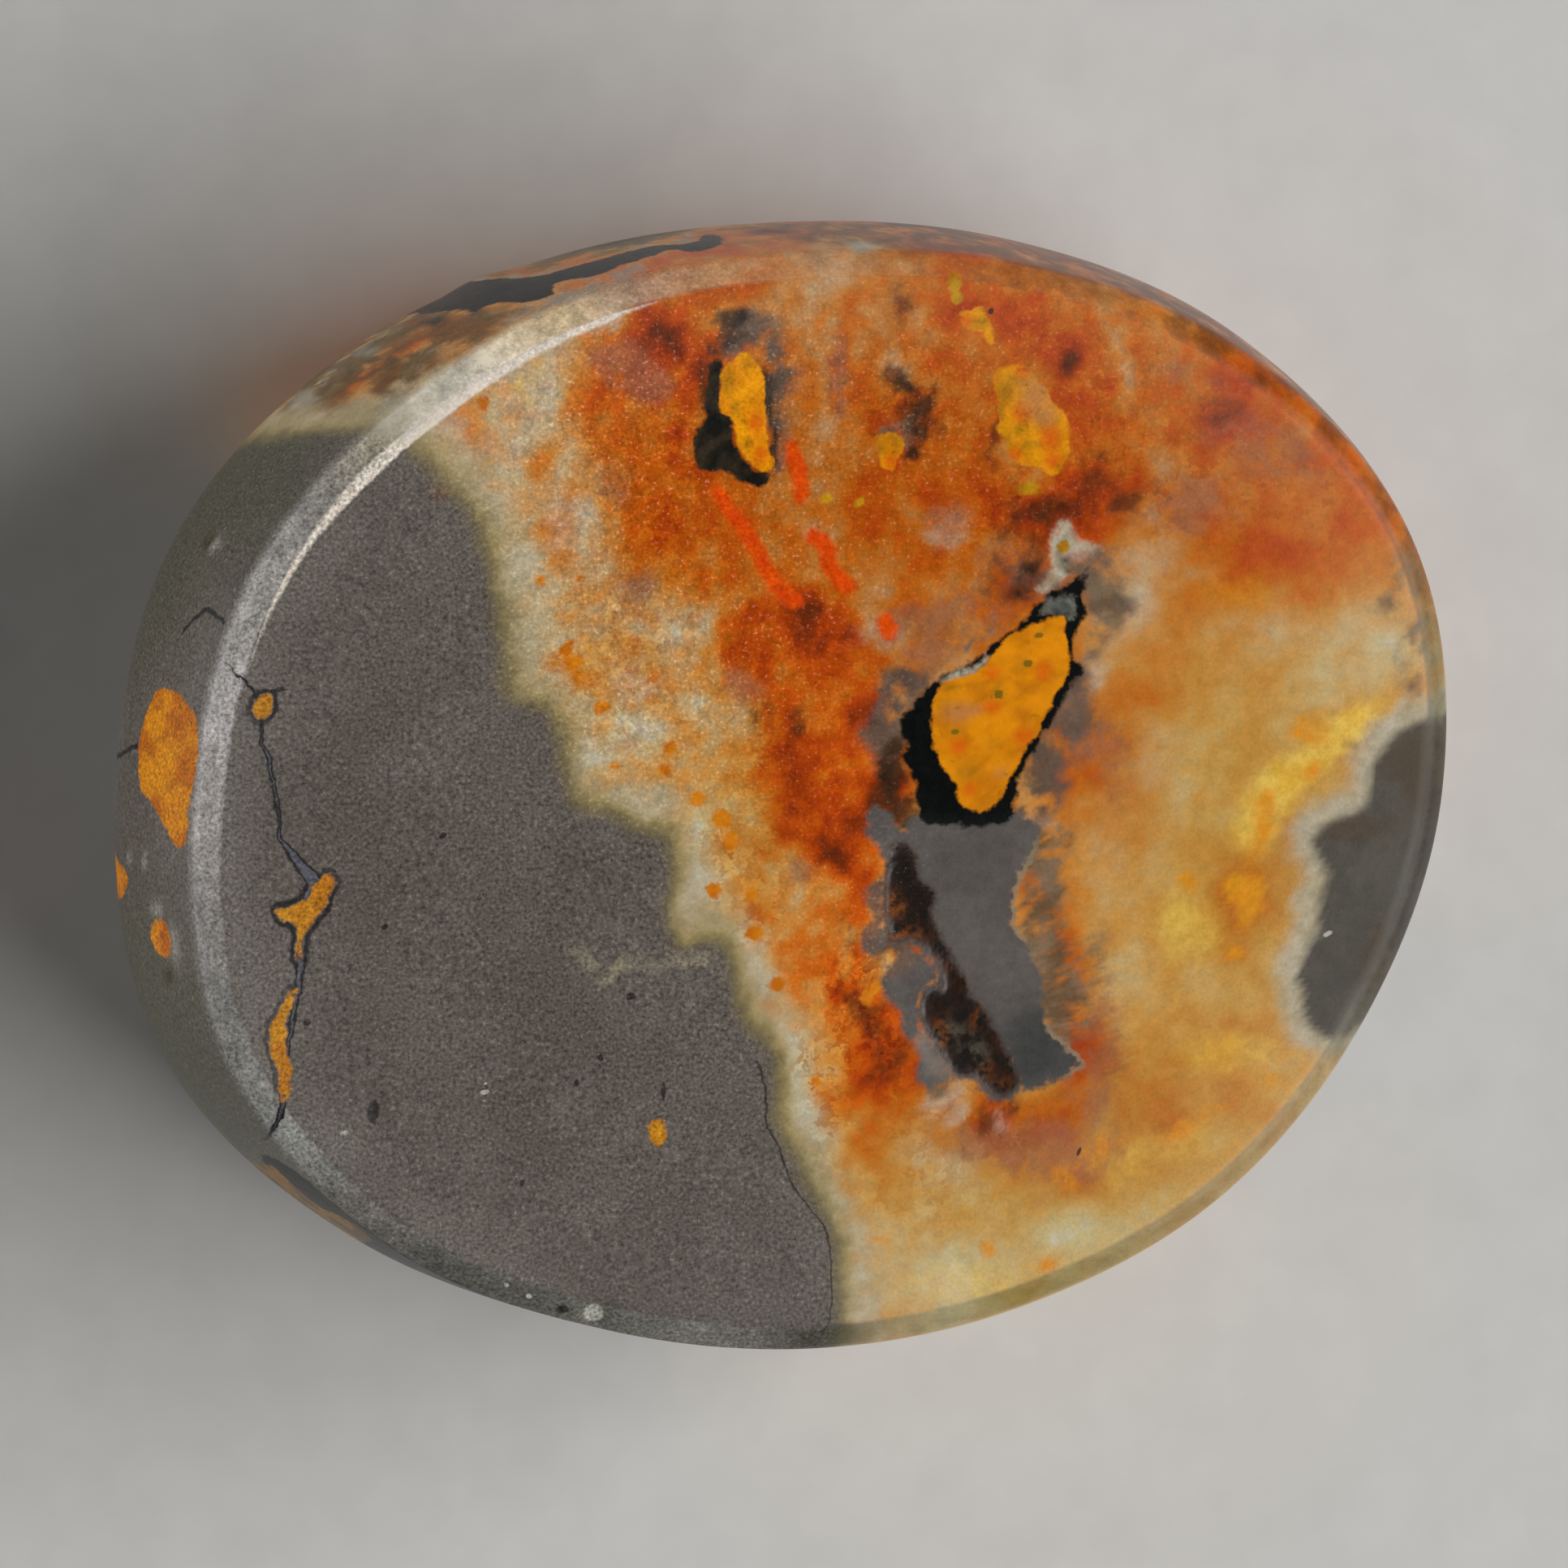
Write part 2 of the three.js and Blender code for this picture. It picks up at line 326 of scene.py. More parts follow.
# Stains: a place to the east and north and two half axes, in mm, then a turn in degrees and a strength. On
# the side the place is an azimuth in degrees and a height.
IRON = (
    (0.4, -3.4, 1.6, 2.4, 0, 0.14), (0.2, -7.4, 1.4, 1.6, 0, 0.14), (12, -3, 1.6, 2.4, 0, -0.12),
    (4, -15, 2.4, 1.6, 0, -0.1), (7.6, 21.4, 1.6, 1, 0, 0.12), (12, 18, 5, 2.2, -10, 0.12),
    (20, 9.4, 2.4, 1.6, 0, 0.1), (0, 9, 3, 2, 0, 0.06), (8, -18, 8, 3, 0, -0.08), (-8, 15.5, 2, 3, 0, -0.2),
    (-4, 7, 2.5, 3, 0, 0.08), (0, -13, 1.2, 3, 0, -0.12), (8.4, 9.4, 1.8, 1.2, 20, 0.26),
    (0, 9, 2.4, 1.6, 0, -0.08), (0.2, 3, 2, 3, 0, -0.1), (-7.6, 20.6, 1.4, 0.8, 20, 0.3),
    (-4, 22.4, 2, 0.7, 10, 0.3), (11.2, 19.6, 1, 1, 0, 0.2), (9, 20.6, 1, 0.8, 0, 0.16),
    (0, -15.6, 1.4, 2, 0, -0.14), (0.2, -11, 1, 1.4, 0, -0.1), (27.6, 7, 1.6, 3, 0, -0.12),
    (24.4, -13.4, 2, 1.4, -45, -0.22), (21.6, -17, 3, 1.2, 45, -0.2), (17, -20.4, 3, 1.2, 30, -0.22),
    (10, -23, 5, 1, 12, -0.22), (11.4, -8.5, 1, 3, 0, -0.2), (9, -8, 1.4, 1, 0, -0.1),
    (-10.6, 17.2, 1.2, 1.4, 0, 0.2), (-12.4, 15, 0.6, 0.8, 0, 0.2), (-13.5, 9, 1.2, 5, 8, -0.34),
    (-12.3, 17, 2.4, 3.5, -20, -0.34), (-4.2, 22, 3, 1.2, 0, -0.16), (11.6, -11.8, 1.4, 1.4, 0, 0.3),
    (8.6, -14.6, 2.4, 1.2, 0, 0.14), (10.8, -7, 1, 2.6, 0, 0.2), (9.6, 9.4, 1.8, 1.2, 30, 0.2),
    (11.2, 12.2, 2.4, 1.2, 0, 0.2), (24.6, 13.6, 1.6, 2.4, 30, 0.16), (4.4, -12.4, 1.2, 1.6, 0, 0.2),
    (9, -16.6, 3, 1, 0, 0.1), (10.6, 1.4, 1.2, 1.6, 0, 0.14), (-13, 19.5, 2, 1.2, 30, -0.12),
    (-11, 11.5, 1.6, 2.4, 0, -0.2), (-9.3, 8, 2.6, 2.2, -20, -0.2), (-9.3, 2.8, 2.6, 2, -35, -0.38),
    (-8, 0.2, 1.8, 0.8, -15, -0.3), (-6, 4.6, 2.2, 2.6, 0, -0.14), (-5.4, -3.6, 1.3, 2.6, 0, -0.42),
    (-3.1, -7.6, 1, 2, 20, -0.36), (-1.5, -12.5, 0.9, 3, 8, -0.36), (-0.3, -17, 0.9, 2, 20, -0.34),
    (-7.6, 16.5, 2.2, 5, 0, 0.34), (-7.4, 12.2, 2, 1.4, 0, 0.14), (-9.6, 16.8, 1, 2.6, 0, 0.1),
    (-5.4, 20.6, 2.6, 1.6, 0, 0.12), (-4.5, 10.3, 2, 1.6, -40, 0.18), (-2.6, 7.6, 3, 1.7, 10, 0.1),
    (0.3, 9.3, 2, 1.2, -20, 0.1), (0.2, 12.8, 3.6, 2, 0, 0.1), (0.8, -9.5, 1.4, 2.5, 10, 0.15),
    (2.4, -10.6, 1.5, 2.6, -15, 0.4), (1.6, -13.6, 1.2, 1.8, 0, 0.14), (2.9, 0.6, 0.8, 1.3, 0, 0.7),
    (6.3, 18, 1.4, 4.5, 5, 0.26), (6.5, 13.3, 1.6, 1.2, 0, 0.16), (9.5, 21.3, 2.2, 1.4, -15, 0.2),
    (12, 16.8, 1.4, 3, 10, 0.34), (14, 13.6, 2, 1, 0, 0.18), (10.4, 13, 2.8, 1.4, 10, 0.46),
    (10.5, 19.5, 1, 0.8, 0, 0.15), (18.5, 16.3, 2, 1, 25, 0.22), (16.8, 18.6, 2, 1, -20, 0.12),
    (19.8, 18.4, 2.4, 1, -35, 0.1), (20.5, 11, 3.6, 1.7, -5, 0.18), (17, 8.5, 2.2, 1, 15, 0.16),
    (23.5, 13, 1.6, 2.2, 0, 0.1), (3.9, 17, 0.9, 1.5, -20, 0.4), (3.6, 22, 0.6, 1.6, 0, 0.14),
    (1.1, 20, 0.5, 2.6, -5, 0.2), (-0.4, 20, 0.35, 2, 0, 0.1), (1.9, 17.5, 0.5, 1.4, 15, 0.15),
    (1, 22.6, 2, 0.8, 0, 0.08), (2.2, 23.4, 2.5, 0.7, -5, -0.05), (-9.5, 21.4, 1.4, 0.6, 25, -0.2),
    (13.4, 7.8, 1.4, 1.8, -10, -0.16), (12.2, 5.6, 0.8, 0.8, 0, -0.14), (13.4, 10, 1.6, 0.9, 0, -0.1),
    (11.6, 1.2, 1.2, 1, 0, 0.12), (14, 4.6, 1.2, 0.8, 0, 0.12), (14.6, -3, 3, 4, 0, -0.14),
    (18.3, 2.2, 3, 3, 0, -0.16), (22.5, 6.4, 4, 2, -10, -0.26), (25.5, 6.8, 2, 2.2, 0, -0.12),
    (22.3, 4.7, 1.3, 0.8, 0, -0.14), (18.6, -1, 1.6, 0.7, 0, -0.12), (13.6, -8, 1.6, 1.4, 0, -0.16),
    (17.6, -8.7, 1.6, 1, 0, -0.2), (20.3, -8.5, 1.4, 3, 0, -0.1), (21, -12.2, 1.6, 1.6, 0, -0.14),
    (18.8, -4.6, 1.2, 1.9, 0, 0.2), (18.9, -7, 0.6, 0.5, 0, 0.15), (11.4, -8.5, 0.9, 3.4, 0, 0.26),
    (12.3, -11.2, 1, 1, 0, 0.16), (9.8, -14.2, 2.6, 1.2, 0, 0.2), (7.3, -14, 1, 1.2, 0, 0.25),
    (10.8, -16.6, 0.7, 1.6, 15, 0.15), (15.5, -13.2, 4, 1.4, 10, 0.08), (14.5, -16, 2.4, 1.2, 30, 0.1),
    (5.6, -13.2, 1.2, 0.9, 0, -0.2), (3.5, -21.4, 3, 2.2, 0, -0.28), (8.5, -20.6, 3.4, 1.8, 12, -0.26),
    (11.6, -18.8, 1.6, 0.8, 20, -0.26), (14.6, -19, 3, 1, 30, -0.24), (18.5, -15.8, 1.4, 0.8, 35, -0.12),
    (4.5, -17, 3, 1.6, 0, -0.08), (2.6, -18.6, 1.2, 1.2, 0, -0.12))
IRON_CORE = (
    (-5.4, 7.3), (-5, 6.2), (-4.4, 5), (-3.8, 4.2), (-3.1, 3.4), (-2.9, 2.6), (-3.3, 1.6), (-3, 0.4),
    (-2.8, -0.8), (-2, -1.6), (-0.6, -2.4), (0.4, -3.6), (0.8, -5), (0.7, -6.6), (1.5, -7.4), (2.6, -6.6),
    (2.4, -4), (2, -2), (2.3, 0), (3, 1.5), (2.3, 3), (2.5, 4.6), (3, 6), (2, 7.2), (0.6, 8.4), (-0.5, 9.2),
    (-2.2, 9.4), (-3.6, 8.6), (-4.8, 8.2))
SIDE_IRON = (
    (137, 17.5, 3.5, 1.5, 0, -0.4), (134, 12, 4, 2, 20, -0.35), (141, 8, 3, 3, 0, -0.3),
    (85.5, 18, 0.8, 0.8, 0, -0.3), (141, 14.8, 0.8, 0.5, 0, 0.3), (137, 14.6, 0.9, 0.5, 0, 0.3),
    (135, 16.5, 0.7, 0.4, 0, 0.3), (132, 14.8, 0.8, 0.5, 0, 0.3), (128, 14.5, 0.6, 0.6, 0, 0.3),
    (104, 17, 2, 0.6, 0, 0.3), (74, 17.8, 3, 1, 0, 0.3), (92, 17.5, 1.5, 1.2, 0, 0.2),
    (66, 12, 3, 4, 0, 0.3), (84, 8, 3, 4, 0, 0.3), (93, 14.5, 1.4, 0.6, 0, 0.6), (77, 12, 1.5, 1, 0, 0.5),
    (70, 5, 4, 2, 0, 0.4))
PINK = (
    (4, 12.4, 1.1, 1.6, 0, 0.8), (-3, 22.3, 1.4, 0.6, 0, 0.6), (-8, 21, 1.2, 0.8, 24, 0.7), (3, 15, 11, 9),
    (17, 14.5, 9, 6, -20), (12.6, 1.6, 2.6, 4, 0, 0.7), (6, 8, 4, 4, 0, 0.8), (-8, 11, 3, 5, 0, 0.3),
    (8, -15, 4, 2, 0, 0.7), (5, -13, 2, 2, 0, 0.8))
GOLDEN = ((21, -2, 9, 12), (13, -18, 12, 7), (-8, 5, 5, 6, 0, 0.3), (-3.4, -1, 2.6, 4, 0, 0.5))
RESTLESS = ((-3, 12, 12, 14), (10, 18, 12, 7), (0, -3, 7, 12))
SULPHUR = (
    (24.4, 3.3, 1.8, 0.8, 30, 0.9), (22.6, 1.9, 1.6, 1, 40), (20.8, 0.4, 1.2, 1, 40),
    (19.5, -1.4, 0.9, 1.2, 0, 0.9), (16.6, -6, 1.6, 1.4, 0, 0.7), (18.6, -11.5, 2.4, 0.9, 0, 0.6),
    (15, -16, 2.6, 0.8, 25, 0.5), (-12.9, 18.8, 0.6, 1, 0, 0.6), (6.5, -21.5, 3, 1, 0, 0.5))
AMBER = (
    (21.7, 2.5, 0.7, 0.4, -40), (22.2, 3.2, 0.8, 0.5, -40, 0.7), (19.2, -4.6, 0.6, 1), (18.3, -4, 0.5, 0.5),
    (18.7, -7, 0.5, 0.4), (19.6, -1.6, 0.6, 1.4, 0, 0.7), (20, -0.2, 0.5, 0.5, 0, 0.8),
    (22, 0.9, 0.5, 0.4, 0, 0.7), (16.3, -3.9, 0.4, 0.4, 0, 0.8), (12.6, -15.6, 2, 0.5, 10, 0.6),
    (16.8, -14.6, 1.6, 0.4, 25, 0.6), (10.6, -16.4, 0.6, 1.2, 20, 0.6), (20.3, -12.8, 0.7, 0.5, 0, 0.6),
    (10.2, -20.7, 0.5, 0.35), (7.4, -20, 0.35, 0.5), (2.2, -19.5, 0.6, 0.3), (18.8, 8.7, 2, 1, 0, 0.4))
GRAIN_SWING = np.array([[0.2], [-0.2]])
CLOUD_RANGE = (-0.45, 0.45)
UPRIGHT = (1.0, 0.6, 0.6)
MIDDLING_IRON = 0.5
CORE_IRON = 0.4
LEAST_UNREST = 0.45
ADDED_UNREST = 0.6
BROAD_SWING = 0.22
FINE_SWING = 0.24
SLOW_SWING = 0.1

ground = np.zeros((2, len(points), 3))
grain_signs = itertools.cycle((1, -1))


def paint(red, green, blue):
    """A colour as a screen shows it, 0 to 255, made linear."""
    shown = np.array([red, green, blue]) / 255
    return np.where(shown <= 0.04045, shown / 12.92, ((shown + 0.055) / 1.055) ** 2.4)


def ramp(value, start, end):
    """0 at start, 1 at end and a smooth step between, whichever of the two is larger."""
    t = np.clip((value - start) / (end - start), 0, 1)
    return t * t * (3 - 2 * t)


def grainy(size, grain=1.0, octaves=3):
    """Clouds of one size, shifted one way between the crystals and the other way on them."""
    return clouds(size, octaves) + grain * next(grain_signs) * GRAIN_SWING


def blend(first, second, share):
    """The first colour where the share is 0 and the second where it is 1."""
    return first + (second - first) * share[..., None]


def clouded(first, second, size=2.4):
    """Two colours clouded and grained into each other, between the crystals and on them."""
    return blend(first, second, ramp(grainy(size), *CLOUD_RANGE))


def cover(share, colour):
    """Lay a colour over the ground, opaque where the share is 1."""
    ground[:] = blend(ground, colour, share)


def wash(amount, colour, breakup=0.9, softness=0.4, size=1.6):
    """Lay a colour over the ground where its amount, broken up by clouds and grain, is more than a half."""
    broken_up = amount * (1 + breakup * grainy(size))
    cover(ramp(broken_up, 0.5 - softness, 0.5 + softness), colour)


def shifts(rows, place=wavering):
    """The sum of oval stains, each of its own strength, up or down."""
    return sum(oval(place, *row) for row in rows)


def scaled(stops, amount):
    """Colours on a scale: each stop is an amount and a paint, and amounts in between get colours in
    between."""
    levels = [stop[0] for stop in stops]
    paints = np.array([paint(*stop[1:]) for stop in stops])
    return np.stack([np.interp(amount, levels, paints[:, k]) for k in range(3)], -1)


iron = MIDDLING_IRON + shifts(IRON) + shifts([(turn * ARC_STEP, *row) for turn, *row in SIDE_IRON], around)
iron += CORE_IRON * ramp(inside_distance(IRON_CORE, wavering) + 0.4 * clouds(1.5), 0.4, -0.5)
unrest = LEAST_UNREST + ADDED_UNREST * stain(RESTLESS)
swing = BROAD_SWING * clouds(3.0, 5, points * UPRIGHT) + FINE_SWING * grainy(1.0, 0.9, 2)
iron = iron + unrest * swing + SLOW_SWING * clouds(4.0, 2)
pattern_colour = blend(scaled(IRON_COLOURS, iron), scaled(GOLDEN_COLOURS, iron), stain(GOLDEN))
ground[:] = blend(pattern_colour, scaled(PINK_COLOURS, iron), stain(PINK))
SULPHUR_TONES = (paint(234, 194, 84), paint(228, 176, 52))
AMBER_TONES = (paint(228, 142, 4), paint(222, 150, 26))
wash(0.9 * stain(SULPHUR), clouded(*SULPHUR_TONES), breakup=0.4, softness=0.5)
wash(stain(AMBER), clouded(*AMBER_TONES), breakup=0.5, softness=0.4)

# Bruises and smudges
# Beside the black rims and between the orange strands the calcite is bruised rose and mauve. Iron and
# manganese have smudged it umber, brown and black round the eye and the upper ochre, and umber, olive and
# dull gold on the side, where white grains show below the rim. Under the black arch on the side the dull
# gold is darkened by painted shade that deepens to near black lower down, and white highlights are painted
# along the low ridge and the edges beside the arch.
FROSTING = (
    (-12.9, 17.6, 1, 2.4, -30, 0.7), (-10.4, 21.2, 2, 0.6, 28), (-4.4, 23.4, 3.4, 0.4, 12, 0.5),
    (1.6, 23.8, 3, 0.4, -6, 0.4), (-13.8, 19.2, 1, 0.8), (-16.4, 17.2, 0.7, 1), (7.9, -14.3, 0.5, 0.5),
    (12.1, 5.4, 0.5, 0.5), (9.6, -0.9, 0.6, 0.4), (-11.2, 12.4, 1, 1.2, 0, 0.7),
    (-8.5, 9.6, 0.8, 0.6, 0, 0.6), (-14.6, 15.6, 0.8, 0.8), (5.4, 11.7, 1, 0.5, 0, 0.7),
    (13.6, 8, 0.9, 1.2, 0, 0.4), (11.9, 5.6, 0.5, 0.6), (2, 7.4, 1.4, 0.6, 0, 0.4), (5.4, -13.4, 0.9, 0.6),
    (5.8, -14.2, 0.6, 0.6), (8, -13.8, 0.5, 0.3), (9.9, -1.2, 0.7, 0.3, 0, 0.8),
    (-8.6, 5.2, 1.4, 1, 0, 0.6), (-9, 2.6, 1.2, 0.6, 0, 0.5), (4.6, -17.4, 1, 1.6, 0, 0.4),
    (1, 18, 0.6, 1.6, 0, 0.3))
ROSE = (
    (16, 13, 2.4, 1.4), (20, 15.4, 3, 1.2, -20, 0.6), (12, -12.4, 1.6, 2, 0, 0.8),
    (11, -15.6, 2.6, 1.2, 0, 0.8), (6.6, 8.2, 3, 1.2, 30), (3.6, 7.4, 1.4, 0.8), (-4, 5, 0.8, 0.8),
    (-8.4, 9.4, 0.9, 0.7), (-9, 19.2, 1.2, 1), (-7.7, 18.4, 0.8, 0.8), (-9.4, 13.6, 1, 1, 0, 0.7),
    (0.7, 19, 0.4, 2), (-1.2, -2.9, 0.8, 0.6), (11.8, 2.6, 1.2, 1.2), (13, 1.4, 1, 1.6, 0, 0.6),
    (8.2, 10.2, 1.4, 1.2), (-2, 15.6, 0.5, 1), (8, -15.4, 2.2, 0.9), (9.6, -17, 1, 0.6, 0, 0.6),
    (4.3, -7.4, 0.6, 0.5), (-1.6, 18.2, 0.6, 2, 0, 0.6), (5, 12.2, 1.2, 0.6), (17, 18.4, 3, 0.8, -30, 0.4),
    (12.4, -9.6, 0.8, 2, 0, 0.6))
MAUVE = (
    (12.2, 10.2, 1, 1, 0, 0.8), (2.6, 2.6, 0.9, 1.2), (3.4, 4.6, 1, 1), (8.6, 9.8, 0.7, 0.8, 0, 0.5),
    (3.7, 5, 0.9, 0.7), (3.1, 4.3, 0.8, 0.8), (2.9, 3.4, 0.7, 1), (2.9, 2.5, 0.7, 0.8),
    (10.8, 3.6, 0.9, 1.8, 35), (9.8, 1.6, 0.9, 1.6, 30), (9.2, 0, 0.9, 1), (11.4, 4.9, 0.6, 0.9),
    (5, 6, 0.8, 0.3, 20, 0.7), (12, 6.6, 0.6, 0.6, 0, 0.8), (7, 7.1, 0.7, 0.3, 30), (10.3, 9.6, 1, 0.4, 30),
    (12.4, 9.7, 0.8, 0.5, 0, 0.8), (12.6, 8.4, 0.9, 0.7), (-3.2, 20.9, 0.8, 0.7), (-2.1, 18.2, 0.5, 2.2),
    (-2.2, 15.6, 0.4, 0.8, 0, 0.7), (-3.8, 19.9, 0.5, 0.5), (2.1, -6.2, 0.5, 0.6), (3.5, -7, 0.4, 0.4))
OLIVE_BROWN = (
    (12, -7, 1.2, 2, 0, 0.5), (27.2, 6, 0.9, 2.4, -12, 0.6), (26.4, 9.6, 0.9, 2, -22, 0.6),
    (12.2, 9, 1, 1.4, 0, 0.6), (25.6, 2.8, 1.6, 0.6, 20, 0.6), (9.6, -3, 1, 1.8), (9.6, -5, 0.9, 1.4),
    (9.9, -6.8, 0.9, 1.3), (10.5, -8.4, 0.9, 1.6), (10.9, -10, 0.7, 1), (10.2, -1.2, 0.9, 0.8),
    (5, -13, 0.6, 0.4, 0, 0.6), (12.6, 7.6, 0.5, 0.8, 0, 0.6), (2.8, 16.4, 0.5, 0.4), (3.7, 16.4, 0.6, 0.6))
UMBER = (
    (8.4, 9.8, 1.3, 1.5, 0, 0.7), (-4.4, 22.4, 2.6, 0.9, 10, 0.25), (2.4, 0.4, 0.5, 1.2),
    (1.9, -9.4, 0.9, 0.7), (2.8, -11.2, 0.7, 1), (1.3, -8.6, 0.7, 0.4, 0, 0.7),
    (1.8, -7.6, 0.6, 0.3, 0, 0.7), (2.2, -10.4, 0.5, 0.5), (3.4, -6.4, 1, 0.5), (7.1, -14.2, 0.4, 0.8),
    (8.4, -13.3, 0.6, 0.5), (8, 12.2, 0.9, 1, 0, 0.5), (9.6, 13, 1.6, 0.5, -10, 0.7), (9.4, 10.8, 0.5, 0.8),
    (12.4, 14.6, 1, 0.8, 0, 0.7), (3.8, 17.6, 0.6, 0.9, 20), (3, 18.8, 0.5, 0.5),
    (3.2, 21.8, 0.6, 1.4, 0, 0.6), (5, 17, 0.3, 1.4, 0, 0.6), (7.6, 16, 0.3, 1.4, 0, 0.7),
    (17.8, 17, 1.2, 0.6, -20, 0.6), (-5.4, 18.4, 0.3, 1.4, 0, 0.8), (13.4, 13.2, 0.7, 0.5, 0, 0.7),
    (0.8, -5.8, 0.5, 1, 0, 0.6), (-3, 3.8, 0.5, 0.8, 0, 0.5), (-1.6, 3.6, 0.5, 0.8, 0, 0.6))
DARK_BROWN = (
    (9.1, 9.6, 0.5, 0.8, 0, 0.8), (3, 1.2, 0.8, 1.3), (3, -0.2, 0.8, 0.9), (3.5, -0.8, 0.5, 0.5),
    (3.2, 2.3, 0.4, 0.4), (3.5, 18.4, 0.5, 0.5), (4.5, 17.3, 0.5, 0.6), (4.2, 16.2, 0.5, 0.5),
    (3.9, 15.4, 0.4, 0.3), (9.2, 12.5, 1, 0.3, 0, 0.8), (2.5, 16.5, 0.4, 0.25),
    (-5.6, 17.8, 0.4, 1.2, 0, 0.7), (9.5, 9.9, 0.4, 0.5, 0, 0.8), (9, 8.9, 0.4, 0.3, 30, 0.8),
    (2.6, -6.6, 0.5, 0.3, 0, 0.7), (0.9, -8, 0.5, 0.3, 0, 0.7))
BLACK_SMUDGE = (
    (-4.4, 20.4, 0.6, 0.6), (-3.8, 20.6, 0.5, 0.4), (-4, 21.2, 0.7, 0.3), (-2.5, 17.8, 0.25, 1.6),
    (-2.4, 15.6, 0.2, 1))
SIDE_OLIVE = ((131, 12.5, 5.4, 6.4), (142, 13, 1.6, 5, 0, 0.9), (132, 8.5, 4, 3))
SIDE_BROWN = (
    (140.5, 14.7, 1, 0.5), (136, 16.6, 0.8, 0.6), (131.5, 14, 0.8, 1), (128, 15, 1, 1.6),
    (126, 17, 0.6, 0.5), (129, 12, 0.6, 1), (134, 9, 1, 1.6, 0, 0.6), (123, 17.6, 1, 0.5),
    (132, 17.6, 1.2, 0.5, 0, 0.6))
# Dull gold under the black arch, darkened by painted shade.
SIDE_SHADED_GOLD = ((110, 11, 4.2, 2.6), (112, 6, 3.4, 3, 0, 0.8))
SIDE_UMBER = ((56, 12, 19, 8), (20, 10, 8, 8, 0, 0.7))
# Near-black painted shade low on the side under the arch, with a few dark spots.
SIDE_PAINTED_SHADE_AND_DARK_SPOTS = (
    (105, 9.6, 2.8, 2), (104, 6, 3, 3), (128, 13.6, 0.5, 1.4, 0, 0.7), (93, 13.6, 1.6, 1, 0, 0.6),
    (77, 11.6, 2, 1, 0, 0.6))
# White grains below the rim, with painted highlights along the low ridge and the edges beside the arch.
SIDE_WHITE_AND_RIDGE_HIGHLIGHTS = (
    (140, 16.3, 0.7, 0.5), (138, 18, 1.2, 0.5), (141.3, 11.6, 0.5, 2), (134, 11.6, 0.5, 1.4, 0, 0.7),
    (117, 17.9, 0.8, 0.6), (113.5, 17.3, 0.5, 0.9), (111, 17.7, 0.7, 0.6), (109, 17.6, 0.4, 0.6),
    (115, 18.4, 2.4, 0.4, 0, 0.8), (116, 13.7, 1.2, 0.2), (119, 12.6, 0.4, 0.8), (121, 10.4, 0.3, 1.6),
    (121.4, 8.4, 0.3, 1), (102.2, 14.2, 0.4, 0.7), (100.8, 12.6, 0.3, 1), (106.3, 13.7, 0.6, 0.3),
    (85.5, 18, 0.6, 0.8), (116, 18.4, 2.4, 0.5), (122, 18.2, 1, 0.5, 0, 0.7))


def side_stain(rows):
    """Oval stains on the side, each an azimuth in degrees, a height and half axes in mm."""
    return stain([(turn * ARC_STEP, *row) for turn, *row in rows], around)


# The smudges in the order they lie: stain, strength, two tones (or one), and the sizes of the clouds that
# mix the tones and that break up the stain.
SMUDGES = (
    (side_stain(SIDE_UMBER), 0.9, (108, 58, 24), (84, 46, 20), 2.4, 1.2),
    (side_stain(SIDE_OLIVE), 0.92, (112, 86, 42), (76, 56, 24), 2.4, 1.2),
    (side_stain(SIDE_BROWN), 0.9, (140, 84, 20), (116, 70, 22), 2.4, 0.8),
    (side_stain(SIDE_SHADED_GOLD), 1.0, (118, 90, 24), (96, 74, 26), 2.4, 1.2),
    (side_stain(SIDE_PAINTED_SHADE_AND_DARK_SPOTS), 0.95, (20, 16, 10), None, None, 1.2),
    (side_stain(SIDE_WHITE_AND_RIDGE_HIGHLIGHTS), 0.85, (176, 168, 146), (150, 146, 134), 2.4, 0.8),
    (stain(FROSTING), 0.6, (204, 180, 156), (188, 150, 122), 1.0, 0.8),
    (stain(ROSE), 0.65, (164, 106, 78), (148, 90, 62), 2.4, 1.2),
    (stain(UMBER), 0.85, (116, 50, 10), (92, 44, 16), 0.8, 0.8),
    (stain(MAUVE), 0.95, (118, 98, 84), (92, 78, 68), 2.4, 1.2),
    (stain(OLIVE_BROWN), 0.95, (132, 112, 88), (104, 82, 58), 0.8, 0.8),
    (stain(DARK_BROWN), 0.92, (70, 46, 24), (36, 26, 14), 0.8, 0.8),
    (stain(BLACK_SMUDGE), 0.9, (60, 50, 38), (30, 27, 22), 0.8, 0.8))

for amount, strength, first, second, cloud_size, edge_size in SMUDGES:
    smudge_colour = clouded(paint(*first), paint(*second), cloud_size) if second else paint(*first)
    cover(strength * ramp(amount * (1 + grainy(edge_size)), 0.1, 1.0), smudge_colour)

